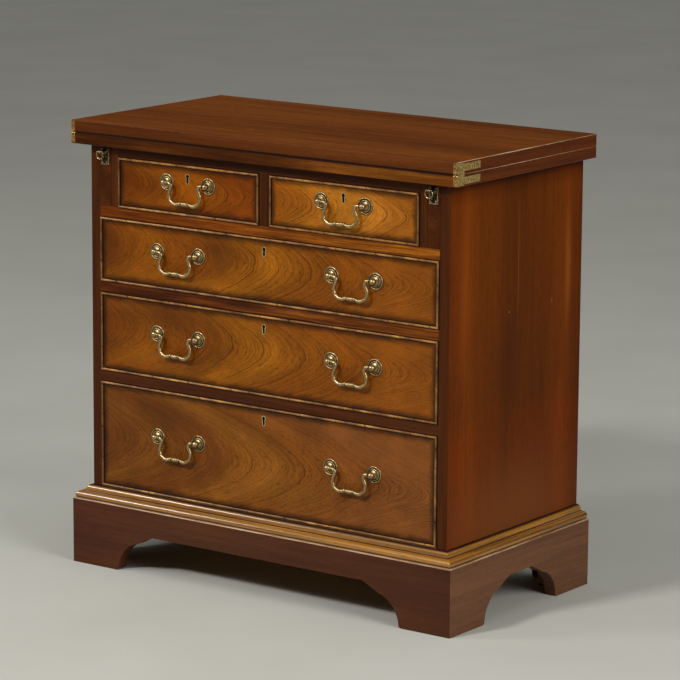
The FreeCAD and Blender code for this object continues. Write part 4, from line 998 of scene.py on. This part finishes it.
def sweep_part(mesh: Mesh, stations: list[tuple[Vector, float]]) -> None:
    """Add a round bar whose thickness changes along its line.

    Args:
        mesh: what it is added to.
        stations: (place, radius) pairs along the line.
    """
    data = bpy.data.curves.new("line", "CURVE")
    data.dimensions = "3D"
    data.bevel_depth = MM
    data.bevel_resolution = data.resolution_u = BAR_STEPS
    data.use_fill_caps = True
    spline = data.splines.new("BEZIER")
    spline.radius_interpolation = "CARDINAL"
    spline.bezier_points.add(len(stations) - 1)
    for point, (place, radius) in zip(spline.bezier_points, stations):
        point.co = place
        point.radius = radius / MM
        point.handle_left_type = point.handle_right_type = "AUTO"
    bar = bpy.data.objects.new("line", data)
    part = metal_mesh()
    swept = bpy.data.meshes.new_from_object(bar)
    part.from_mesh(swept)
    bpy.data.meshes.remove(swept)
    bpy.data.objects.remove(bar)
    bpy.data.curves.remove(data)
    close_and_join(mesh, part)


def close_and_join(mesh: Mesh, part: Mesh) -> None:
    """Weld a part's poles and seams, turn its faces outwards, and move it into a mesh.

    Args:
        mesh: what it is added to.
        part: the part; freed here.
    """
    bmesh.ops.remove_doubles(part, verts=part.verts, dist=WELD_GAP)
    bmesh.ops.recalc_face_normals(part, faces=part.faces)
    data = bpy.data.meshes.new("part")
    part.to_mesh(data)
    part.free()
    mesh.from_mesh(data)
    bpy.data.meshes.remove(data)


def joint_place(joint: str) -> Vector:
    """Find a joint's place in the record.

    Args:
        joint: the joint's name.

    Returns:
        The place, in the chest's frame.
    """
    for entry in frame["record"]["behaviour"]["joints"]:
        if entry["name"] == joint:
            return Vector(entry["pos_m"])
    raise KeyError(joint)


# ---- Case -----------------------------------------------------------------------
@dataclass
class Case:
    """Standing carcase: sides, rails, partitions, back and runners."""

    ease: float = 0.5 * MM
    stile_depth: float = 1.0 * MM
    top_rail_reach: float = 10.0 * MM
    upper_rail: float = 600.0 * MM
    middle_rail: float = 480.0 * MM

    def build(self) -> None:
        """Dress every board of the case."""
        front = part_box("case_side_left")[0].y + self.stile_depth
        stile = Facing(STILE_MAHOGANY, Grain.ALONG_Z, lambda middle, normal: middle.y < front)
        for side in ("left", "right"):
            boards(f"{side}_side_board", f"case_side_{side}", "case", "case_wood", SIDE_MAHOGANY,
                   self.ease, facings=(stile,))
        top_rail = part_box("drawer_rails")[1].z - self.top_rail_reach
        rails = tuple(
            Facing(wood, Grain.ALONG_X, lambda middle, normal, level=level: middle.z > level)
            for wood, level in ((STILE_MAHOGANY, top_rail), (UPPER_RAIL_MAHOGANY, self.upper_rail),
                                (MIDDLE_RAIL_MAHOGANY, self.middle_rail)))
        boards("front_rails", "drawer_rails", "case", "case_wood", LOWER_RAIL_MAHOGANY, self.ease,
               facings=rails)
        boards("stiles_and_divider", "partitions", "case", "case_wood", STILE_MAHOGANY, self.ease,
               grain=Grain.ALONG_Z)
        for name, node in (("bottom_board", "case_bottom"), ("back_planks", "case_back"),
                           ("runners_and_stops", "drawer_runners")):
            boards(name, node, "case", "secondary_wood", SECONDARY_WOOD, self.ease)


@dataclass
class Plinth:
    """Bracket plinth and the moulding on it."""

    ease: float = 1.0 * MM
    moulding_ease: float = 0.15 * MM
    shortest: float = 15.0 * MM
    ledge_reach: float = 3.0 * MM
    crown_reach: float = 0.5 * MM

    def build(self) -> None:
        """Dress the plinth and the moulding."""
        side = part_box("case_side_right")[1].x
        returns = Facing(MOULDING_MAHOGANY, Grain.ALONG_Y,
                         lambda middle, normal: abs(normal.x) > 0.1 or abs(middle.x) > side)
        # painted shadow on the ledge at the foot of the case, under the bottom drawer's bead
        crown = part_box("base_moulding")[1].z - self.crown_reach
        foot = Facing(SEAM_SHADE, Grain.ALONG_X,
                      lambda middle, normal: middle.z > crown and normal.z > 0.95)
        boards("foot_moulding", "base_moulding", "case", "moulding_wood", MOULDING_MAHOGANY,
               self.moulding_ease, grain=Grain.ALONG_X, facings=(foot, returns))
        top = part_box("plinth_front")[1].z - self.ledge_reach
        for name, node, wood, grain in (
                ("plinth_face", "plinth_front", PLINTH_MAHOGANY, Grain.ALONG_X),
                ("plinth_sides", "plinth_returns", PLINTH_SIDE_MAHOGANY, Grain.ALONG_Y)):
            # the top arris of the plinth gets worn wood with a painted highlight
            ledge = Facing(WORN_AND_LIT_ARRIS, grain, lambda middle, normal: middle.z > top and normal.z > 0.1)
            boards(name, node, "case", "plinth_wood", wood, self.ease, grain=grain,
                   shortest=self.shortest, facings=(ledge,))
        boards("corner_blocks", "plinth_blocks", "case", "secondary_wood", SECONDARY_WOOD, self.ease)


@dataclass
class Top:
    """Two leaves and their card-table hinges."""

    ease: float = 0.9 * MM
    edge_reach: float = 4.0 * MM

    def build(self) -> None:
        """Dress the leaves and the hinges."""
        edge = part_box("fixed_leaf")[0].y + self.edge_reach

        def at_front(middle: Vector, normal: Vector) -> bool:
            """Tell whether a face lies in a leaf's front edge."""
            return middle.y < edge and normal.y < -0.5

        figured = Facing(LOWER_EDGE_MAHOGANY, Grain.ALONG_X, at_front)
        plain = Facing(UPPER_EDGE_MAHOGANY, Grain.ALONG_X, at_front)
        lipping = Facing(LEAF_END_MAHOGANY, Grain.ALONG_Y,
                         lambda middle, normal: abs(normal.x) > FACING_SHARE)
        # the rounded arrises over both ends are rubbed light, with a painted highlight
        rubbed_and_lit = Facing(WORN_AND_LIT_ARRIS, Grain.ALONG_Y,
                        lambda middle, normal: 0.25 < normal.z < 0.9 and abs(normal.x) > 0.2)
        # painted shade in the seam between the leaves
        seam = Facing(SEAM_SHADE, Grain.ALONG_X,
                      lambda middle, normal: 0.1 < normal.z < 0.97 and normal.y < -0.2)
        boards("lower_leaf", "fixed_leaf", "case", "top_wood", TOP_MAHOGANY, self.ease,
               facings=(rubbed_and_lit, seam, figured, lipping))
        boards("upper_leaf", "folding_leaf", "leaf", "top_wood", TOP_MAHOGANY, self.ease,
               facings=(rubbed_and_lit, plain, lipping))
        for name, node, body in (("lower_hinge_plates", "hinge_plates_lower", "case"),
                                 ("upper_hinge_plates", "hinge_plates_upper", "leaf"),
                                 ("hinge_knuckles", "hinge_links", "hinge_links")):
            metal_part(name, node, body, "hinge_brass", HINGE_BRASS, SHADED_HINGE_FRONT_BRASS)


@dataclass
class RingPull:
    """Cast plate, turned post and hanging ring that draw a loper out."""

    plate_half: float = 8.75 * MM
    plate_depth: float = 1.8 * MM
    plate_edge: float = 1.1 * MM
    rim_width: float = 1.2 * MM
    rim_slope: float = 0.3 * MM
    field_depth: float = 0.5 * MM
    field_dirt: float = 0.8
    screw_out: float = 4.6 * MM
    lower_screw: float = 4.2 * MM
    upper_screw: float = 2.6 * MM
    ring_radius: float = 7.2
    ring_wire: float = 1.3
    ring_gap: float = 4.7
    ring_stations: int = 12
    steps: int = 16
    post_steps: int = 28
    post_profile: Profile = (
        (0.0, -18.2, 0.0), (2.0, -18.0, 0.0), (2.0, 1.8, 1.0), (5.2, 1.9, 1.0), (5.4, 2.4, 0.4),
        (4.6, 3.0, 0.2), (3.4, 3.4, 0.9), (2.3, 5.0, 0.6), (2.0, 8.0, 0.3), (2.1, 11.0, 0.5),
        (2.6, 12.4, 0.7), (3.0, 13.6, 0.2), (3.1, 15.0, 0.0), (2.8, 16.4, 0.0), (2.0, 17.5, 0.0),
        (1.0, 18.0, 0.0), (0.0, 18.1, 0.0))
    screw_profile: Profile = (
        (0.0, 1.0, 0.0), (2.1, 1.2, 1.0), (2.1, 2.0, 0.9), (1.5, 2.5, 0.2), (0.0, 2.7, 0.0))
    pin_profile: Profile = both_ways(((0.0, 5.2, 0.0), (1.1, 5.1, 0.0)))
    knob_profile: Profile = both_ways(((0.0, 1.5, 0.0), (1.0, 1.2, 0.0), (1.5, 0.4, 0.0)))

    def build(self, loper: str) -> None:
        """Make the plate with its post, and the ring.

        Args:
            loper: the loper's node and body.
        """
        pivot = joint_place(f"{loper}_ring_swing")
        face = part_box(loper)[0].y
        low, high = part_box(f"{loper}_pull")
        mesh = metal_mesh()
        self.add_plate(mesh, Vector((pivot.x - self.plate_half, face - self.plate_depth, low.z)),
                       Vector((pivot.x + self.plate_half, face, high.z)))
        turn_part(mesh, self.post_profile, Vector((pivot.x, face, pivot.z)), Turning.FORWARD,
                  self.post_steps)
        for level in (low.z + self.lower_screw, high.z - self.upper_screw):
            for side in SIDES:
                place = Vector((pivot.x + side * self.screw_out, face, level))
                turn_part(mesh, self.screw_profile, place, Turning.FORWARD, self.steps)
        finish_piece(f"{loper}_plate_and_post", f"{loper}_pull", mesh, loper, "pull_brass",
                     PULL_BRASS.material())
        self.add_ring(loper, pivot)

    def add_plate(self, mesh: Mesh, low: Vector, high: Vector) -> None:
        """Cast the plate with a raised rim.

        Args:
            mesh: what it is added to.
            low: its lowest corner.
            high: its highest corner.
        """
        part = metal_mesh()
        hollow = part.verts.layers.float[HOLLOW]
        bmesh.ops.create_cube(part, size=1.0)
        bmesh.ops.scale(part, vec=high - low, verts=part.verts)
        bmesh.ops.translate(part, vec=(low + high) / 2.0, verts=part.verts)
        rim = [e for f in part.faces if f.normal.y < -FACING_SHARE for e in f.edges]
        bmesh.ops.bevel(part, geom=rim, offset=self.plate_edge, offset_type="OFFSET", segments=3,
                        profile=0.5, affect="EDGES", material=-1)
        front = [f for f in part.faces if f.normal.y < -0.99]
        for thickness, depth in ((self.rim_width, 0.0), (self.rim_slope, -self.field_depth)):
            bmesh.ops.inset_region(part, faces=front, thickness=thickness, depth=depth)
        for vert in {v for f in front for v in f.verts}:
            vert[hollow] = self.field_dirt
        close_and_join(mesh, part)

    def add_ring(self, loper: str, pivot: Vector) -> None:
        """Bend the wire ring and close it with its pin.

        Args:
            loper: the loper's name.
            pivot: where the ring hangs.
        """
        drop = math.sqrt(self.ring_radius ** 2 - self.ring_gap ** 2)
        centre = pivot - Vector((0.0, 0.0, drop * MM))
        opening = math.asin(self.ring_gap / self.ring_radius)
        step = (2.0 * math.pi - 2.0 * opening) / self.ring_stations
        turns = [opening + step * i for i in range(self.ring_stations + 1)]
        line = [centre + Vector((math.sin(t), 0.0, math.cos(t))) * self.ring_radius * MM
                for t in turns]
        mesh = metal_mesh()
        sweep_part(mesh, [(place, self.ring_wire * MM) for place in line])
        turn_part(mesh, self.pin_profile, pivot, Turning.ACROSS, self.steps)
        for side in SIDES:
            turn_part(mesh, self.knob_profile, pivot + Vector((side * self.ring_gap * MM, 0.0, 0.0)),
                      Turning.ACROSS, self.steps)
        finish_piece(f"{loper}_hanging_ring", f"{loper}_ring", mesh, f"{loper}_ring", "pull_brass",
                     PULL_BRASS.material())


@dataclass
class Loper:
    """One pull-out loper with its plate and ring."""

    side: str
    pull: RingPull = field(default_factory=RingPull)
    ease: float = 0.4 * MM

    def build(self) -> None:
        """Dress the loper, its pull and its ring."""
        name = f"loper_{self.side}"
        boards(f"{name}_bar", name, name, "case_wood", STILE_MAHOGANY, self.ease)
        self.pull.build(name)


@dataclass
class SwanNeckHandle:
    """Two turned posts on roses, with the swan-neck bail that hangs between them."""

    name: str
    spacing: float = 89.0
    steps: int = 24
    # radius, distance in front of the drawer's face, dirt
    post_profile: Profile = (
        (0.0, 0.02, 0.0), (14.3, 0.02, 1.0), (14.6, 0.5, 0.6), (14.3, 1.3, 0.1), (13.6, 1.9, 0.0),
        (12.9, 1.95, 0.0), (12.2, 1.6, 0.2), (11.8, 0.9, 0.9), (10.9, 0.75, 1.0), (10.6, 1.3, 0.8),
        (10.1, 2.3, 0.1), (9.4, 2.7, 0.0), (8.7, 2.6, 0.1), (8.1, 2.1, 0.8), (7.6, 2.1, 0.9),
        (6.9, 2.5, 0.3), (5.6, 3.3, 0.1), (4.5, 4.1, 0.3), (3.9, 4.6, 0.8), (4.3, 5.2, 0.6),
        (4.9, 6.2, 0.25), (5.4, 7.6, 0.1), (5.6, 9.2, 0.0), (5.4, 10.8, 0.0), (4.8, 12.2, 0.0),
        (3.9, 13.3, 0.0), (2.7, 14.15, 0.0), (1.4, 14.65, 0.0), (0.0, 14.8, 0.0))
    nut_profile: Profile = (
        (0.0, -0.3, 0.0), (5.5, -0.3, 0.6), (5.5, 2.6, 0.2), (4.9, 3.5, 0.1), (2.5, 3.5, 0.8),
        (2.4, 4.6, 0.2), (1.9, 5.0, 0.0), (0.0, 5.0, 0.0))
    # out from the handle's middle, height against the posts, radius
    neck: Profile = (
        (0.0, -33.6, 2.6), (9.6, -33.6, 2.8), (14.1, -34.7, 3.2), (18.6, -35.4, 3.6),
        (23.1, -34.5, 3.65), (27.1, -32.2, 3.5), (30.8, -29.2, 3.25), (32.8, -25.2, 2.95),
        (33.5, -20.6, 2.8), (32.9, -16.1, 2.8), (31.0, -11.9, 2.95), (29.5, -7.5, 3.15),
        (29.6, -3.2, 3.3), (32.9, -0.1, 3.15), (36.8, 0.0, 2.5))
    grip_profile: Profile = both_ways((
        (0.0, 9.9, 0.0), (2.6, 9.9, 1.0), (3.9, 9.6, 0.4), (4.6, 8.8, 0.0), (4.4, 8.0, 0.1),
        (3.4, 7.4, 0.9), (3.3, 6.9, 0.6), (3.5, 5.5, 0.1), (3.8, 2.8, 0.0), (3.9, 0.0, 0.0)))
    collar_profile: Profile = (
        (0.0, -9.3, 0.0), (2.4, -9.1, 0.8), (3.5, -8.6, 0.2), (3.8, -7.8, 0.0), (3.6, -6.9, 0.1),
        (2.6, -6.2, 0.9), (1.9, -6.0, 1.0), (1.9, 3.8, 0.0), (0.0, 3.9, 0.0))

    def post_place(self, pivot: Vector, side: float) -> Vector:
        """Find the middle of the left or right post."""
        return pivot + Vector((side * self.spacing * MM / 2.0, 0.0, 0.0))

    def add_posts(self, mesh: Mesh, face: float, inside: float) -> None:
        """Turn the roses, posts and nuts of this handle.

        Args:
            mesh: what they are added to.
            face: the drawer's face, front to back.
            inside: the front's inner face.
        """
        pivot = joint_place(f"{self.name}_swing")
        nut = pointed(self.nut_profile, -1.0)
        for side in SIDES:
            place = self.post_place(pivot, side)
            turn_part(mesh, self.post_profile, Vector((place.x, face, place.z)), Turning.FORWARD)
            turn_part(mesh, nut, Vector((place.x, inside, place.z)), Turning.FORWARD, self.steps)

    def build_bail(self) -> None:
        """Bend the bail and turn its grip and collars."""
        pivot = joint_place(f"{self.name}_swing")
        left, right = ([(pivot + Vector((side * out, 0.0, up)) * MM, radius * MM)
                        for out, up, radius in self.neck] for side in SIDES)
        mesh = metal_mesh()
        sweep_part(mesh, left[:0:-1] + right)
        grip = pivot + Vector((0.0, 0.0, self.neck[0][1] * MM))
        turn_part(mesh, self.grip_profile, grip, Turning.ACROSS, self.steps)
        for side in SIDES:
            turn_part(mesh, pointed(self.collar_profile, side), self.post_place(pivot, side),
                      Turning.ACROSS, self.steps)
        finish_piece(f"{self.name}_swan_neck", self.name, mesh, self.name, "handle_brass",
                     HANDLE_BRASS.material())


@dataclass
class Drawer:
    """One drawer with its veneered front, beads, box, lock and handles."""

    name: str
    handles: tuple[SwanNeckHandle, ...]
    veneer: FiguredVeneer
    ease: float = 0.3 * MM
    bead_reach: float = 4.0 * MM
    veneer_reach: float = 0.1 * MM

    def build(self) -> None:
        """Dress the whole drawer."""
        name = self.name
        self.build_front()
        self.build_beads()
        sides = Facing(SECONDARY_WOOD, Grain.ALONG_Y,
                       lambda middle, normal: abs(normal.x) > FACING_SHARE)
        boards(f"{name}_tray", f"{name}_box", name, "secondary_wood", SECONDARY_WOOD, self.ease,
               grain=Grain.ALONG_X, facings=(sides,))
        metal_part(f"{name}_lock_plate", f"{name}_lock", name, "lock_brass", LOCK_BRASS,
                   ESCUTCHEON_BRASS)
        metal_part(f"{name}_lock_bolt", f"{name}_bolt", f"{name}_bolt", "lock_brass", LOCK_BRASS)
        low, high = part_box(f"{name}_front")
        mesh = metal_mesh()
        for handle in self.handles:
            handle.add_posts(mesh, low.y, high.y)
        finish_piece(f"{name}_roses_and_posts", f"{name}_posts", mesh, name, "handle_brass",
                     HANDLE_BRASS.material())
        for handle in self.handles:
            handle.build_bail()

    def build_beads(self) -> None:
        """Frame the front with beads, painted darker where they stand upright as painted shade."""
        node = f"{self.name}_beads"
        low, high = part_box(node)
        mesh = merged_copy(node)
        for part in mesh.faces:
            x = part.calc_center_median().x
            part.material_index = int(min(x - low.x, high.x - x) < self.bead_reach)
        finish_piece(f"{self.name}_cock_beads", node, mesh, self.name, "bead_wood",
                     LEVEL_BEAD.material(), SHADED_UPRIGHT_BEAD.material())

    def build_front(self) -> None:
        """Veneer the front's face, and leave its back and edges bare."""
        node = f"{self.name}_front"
        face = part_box(node)[0].y + self.veneer_reach
        mesh = merged_copy(node)
        for part in mesh.faces:
            veneered = part.normal.y < -FACING_SHARE and part.calc_center_median().y < face
            part.material_index = 0 if veneered else 1
        finish_piece(f"{self.name}_face", node, mesh, self.name, "front_veneer",
                     self.veneer.material(), SECONDARY_WOOD.material(Grain.ALONG_X))


# ---- Studio ---------------------------------------------------------------------
@dataclass
class Studio:
    """Pale floor, soft lamps and the camera."""

    floor_tones: Stops = ((0.3, "#b0afa5"), (0.7, "#b6b5ab"))
    floor_size: float = 60.0
    # dim walls and a bright ceiling
    room: Stops = ((0.0, "#1a1b1d"), (0.35, "#26272a"), (0.7, "#a0a0a0"), (1.0, "#f2f2f2"))
    room_strength: float = 0.8
    # name, place, size of the panel and watts
    lamps: tuple[tuple[str, Triple, float, float], ...] = (
        ("key_lamp", (-0.9, -3.9, 3.7), 0.6, 150.0), ("left_lamp", (-2.5, -2.3, 2.1), 0.8, 37.0),
        ("fill_lamp", (4.6, -0.9, 2.6), 2.4, 165.0))
    aim: Triple = (0.0, 0.0, 0.42)
    lens: float = 184.31
    sensor: float = 36.0
    eye: Triple = (3.4565, -4.72215, 1.6)
    yaw: float = 0.6287
    pitch: float = 0.2003
    roll: float = 0.0063

    def build(self) -> None:
        """Lay the floor, hang the lamps and set the camera."""
        self.lay_floor()
        self.light_room()
        for name, place, size, watts in self.lamps:
            self.lamp(name, Vector(place), size, watts)
        self.set_camera()

    def lay_floor(self) -> None:
        """Lay a plain matt floor under the feet."""
        mesh = bmesh.new()
        bmesh.ops.create_grid(mesh, x_segments=2, y_segments=2, size=self.floor_size / 2.0)
        data = bpy.data.meshes.new("studio_floor")
        mesh.to_mesh(data)
        mesh.free()
        made, tree = bare_material("painted_floor")
        place = add(tree, "TexCoord", out="Object")
        mottle = add(tree, "TexNoise", {"Vector": place, "Scale": 3.0, "Detail": 3.0}, out="Fac")
        colour = add(tree, "ValToRGB", {"Fac": mottle}, stops=self.floor_tones)
        shader = add(tree, "BsdfPrincipled", {"Base Color": colour, "Roughness": 0.8})
        add(tree, "OutputMaterial", {"Surface": shader})
        data.materials.append(made)
        self.hang("studio_floor", data, Matrix())

    def light_room(self) -> None:
        """Give the room dim walls and a bright ceiling."""
        world = bpy.data.worlds.new("studio")
        bpy.context.scene.world = world
        world.use_nodes = True
        tree = world.node_tree
        tree.nodes.clear()
        way = add(tree, "TexCoord", out="Generated")
        height = add(tree, "SeparateXYZ", {0: way}, out=2)
        glow = add(tree, "ValToRGB", {"Fac": height}, stops=self.room)
        light = add(tree, "Background", {"Color": glow, "Strength": self.room_strength})
        add(tree, "OutputWorld", {"Surface": light})

    def lamp(self, name: str, place: Vector, size: float, watts: float) -> None:
        """Hang a square soft lamp that faces the chest.

        Args:
            name: the lamp's name.
            place: where it hangs.
            size: side of its panel.
            watts: its power.
        """
        data = bpy.data.lights.new(name, "AREA")
        data.size = size
        data.energy = watts
        turn = (Vector(self.aim) - place).to_track_quat("-Z", "Y").to_matrix().to_4x4()
        self.hang(name, data, Matrix.Translation(place) @ turn)

    def set_camera(self) -> None:
        """Stand the camera to the right of the front, looking a little down."""
        ahead = Vector((-math.sin(self.yaw) * math.cos(self.pitch),
                        math.cos(self.yaw) * math.cos(self.pitch), -math.sin(self.pitch)))
        right = Vector((math.cos(self.yaw), math.sin(self.yaw), 0.0))
        up = right.cross(ahead)
        across = math.cos(self.roll) * right + math.sin(self.roll) * up
        upright = math.cos(self.roll) * up - math.sin(self.roll) * right
        turn = Matrix((across, upright, -ahead)).transposed().to_4x4()
        data = bpy.data.cameras.new("camera")
        data.lens = self.lens
        data.sensor_width = self.sensor
        bpy.context.scene.camera = self.hang("camera", data, Matrix.Translation(self.eye) @ turn)

    def hang(self, name: str, data: bpy.types.ID, place: Matrix) -> bpy.types.Object:
        """Put a lamp, the camera or the floor in the scene.

        Args:
            name: its name.
            data: its mesh, light or camera.
            place: where it stands and how it is turned.

        Returns:
            The object.
        """
        made = bpy.data.objects.new(name, data)
        made.matrix_world = place
        bpy.context.scene.collection.objects.link(made)
        return made


# ---- Drawer fronts ----------------------------------------------------------------
BEAD_WIDTH = 3.8 * MM
GOLDEN_PLANK = (
    (0.0, "#5f2c03"), (0.1, "#733c04"), (0.17, "#7f4505"), (0.27, "#703804"), (0.38, "#733e06"),
    (0.46, "#8b4f08"), (0.52, "#94570b"), (0.61, "#7b4308"), (0.75, "#854708"), (0.86, "#80450a"),
    (1.0, "#84480d"))
BROWN_PLANK = (
    (0.0, "#5c2e0c"), (0.12, "#6c3c0f"), (0.18, "#754311"), (0.27, "#68390d"), (0.38, "#69380d"),
    (0.45, "#7d4911"), (0.52, "#875116"), (0.61, "#73400f"), (0.75, "#7b4515"), (0.86, "#764217"),
    (1.0, "#7b471c"))
SHORT_LEFT_PLANK = (
    (0.0, "#512301"), (0.12, "#663102"), (0.24, "#733a03"), (0.4, "#874606"), (0.62, "#8a4906"),
    (0.8, "#7c3d03"), (1.0, "#733603"))
SHORT_RIGHT_PLANK = (
    (0.0, "#7a3f08"), (0.12, "#8a4c0b"), (0.24, "#93520d"), (0.4, "#a56314"), (0.62, "#b06d1c"),
    (0.8, "#a9661b"), (1.0, "#9c5a14"))
UPPER_CLOUDS = (Mark((-85.0, -185.0, 585.0), (80.0, 40.0, 40.0), "#4a2406", 0.5, soft=1.0),
                Mark((-335.0, -185.0, 560.0), (45.0, 40.0, 60.0), "#4a2406", 0.4, soft=1.0),
                Mark((-190.0, -185.0, 522.0), (150.0, 40.0, 26.0), "#a9650f", 0.4, soft=1.0))
MIDDLE_CLOUDS = (Mark((-220.0, -185.0, 455.0), (180.0, 40.0, 44.0), "#4a2508", 0.55, soft=1.0),
                 Mark((-240.0, -185.0, 375.0), (120.0, 40.0, 34.0), "#9c5c10", 0.4, soft=1.0))
LOWER_CLOUDS = (Mark((-220.0, -185.0, 285.0), (190.0, 40.0, 56.0), "#45240c", 0.5, soft=1.0),
                Mark((60.0, -185.0, 185.0), (130.0, 40.0, 50.0), "#8f5a1c", 0.3, soft=1.0))


def cut_veneer(name: str, heart: float, plank: Stops, **details) -> FiguredVeneer:
    """Fit a veneer to one drawer front.

    Args:
        name: the drawer's name.
        heart: height of the tongues, as a share of the front's height.
        plank: colours along the sheet.
        details: what differs from the usual sheet.

    Returns:
        The finish.
    """
    low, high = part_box(f"{name}_front")
    edges = (low.x + BEAD_WIDTH, high.x - BEAD_WIDTH, low.z + BEAD_WIDTH, high.z - BEAD_WIDTH)
    return FiguredVeneer(f"{name}_veneer", edges, low.z + heart * (high.z - low.z), plank, **details)


def main() -> None:
    """Build and dress the chest, then the studio round it."""
    logging.basicConfig(level=logging.INFO, format="%(message)s")
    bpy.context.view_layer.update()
    bpy.context.scene.view_settings.view_transform = "Standard"
    Case().build()
    Plinth().build()
    Top().build()
    for side in ("left", "right"):
        Loper(side).build()
    for side, plank, outlines, seed in (("left", SHORT_LEFT_PLANK, (0.14, 0.8, 0.93), 0.31),
                                        ("right", SHORT_RIGHT_PLANK, (0.3, 0.8, 0.95), 0.12)):
        name = f"short_drawer_{side}"
        sheet = cut_veneer(name, 0.55, plank, outlines=outlines, seed=seed, line_spacing=5.0 * MM,
                           blunt=(60.0, 110.0))
        Drawer(name, (SwanNeckHandle(f"{name}_bail"),), sheet).build()
    for row, heart, plank, details in (
            ("upper", 0.66, GOLDEN_PLANK, {"clouds": UPPER_CLOUDS}),
            ("middle", 0.62, GOLDEN_PLANK, {"clouds": MIDDLE_CLOUDS, "seed": 0.02,
                                            "outlines": (0.41, 0.5, 0.62, 0.85)}),
            ("lower", 0.5, BROWN_PLANK, {"clouds": LOWER_CLOUDS, "seed": 0.04,
                                         "outlines": (0.47, 0.62, 0.85), "line_strength": 0.45})):
        name = f"{row}_drawer"
        handles = tuple(SwanNeckHandle(f"{name}_bail_{side}") for side in ("left", "right"))
        Drawer(name, handles, cut_veneer(name, heart, plank, **details)).build()
    Studio().build()
    bpy.context.view_layer.update()


if __name__ == "__main__":
    main()
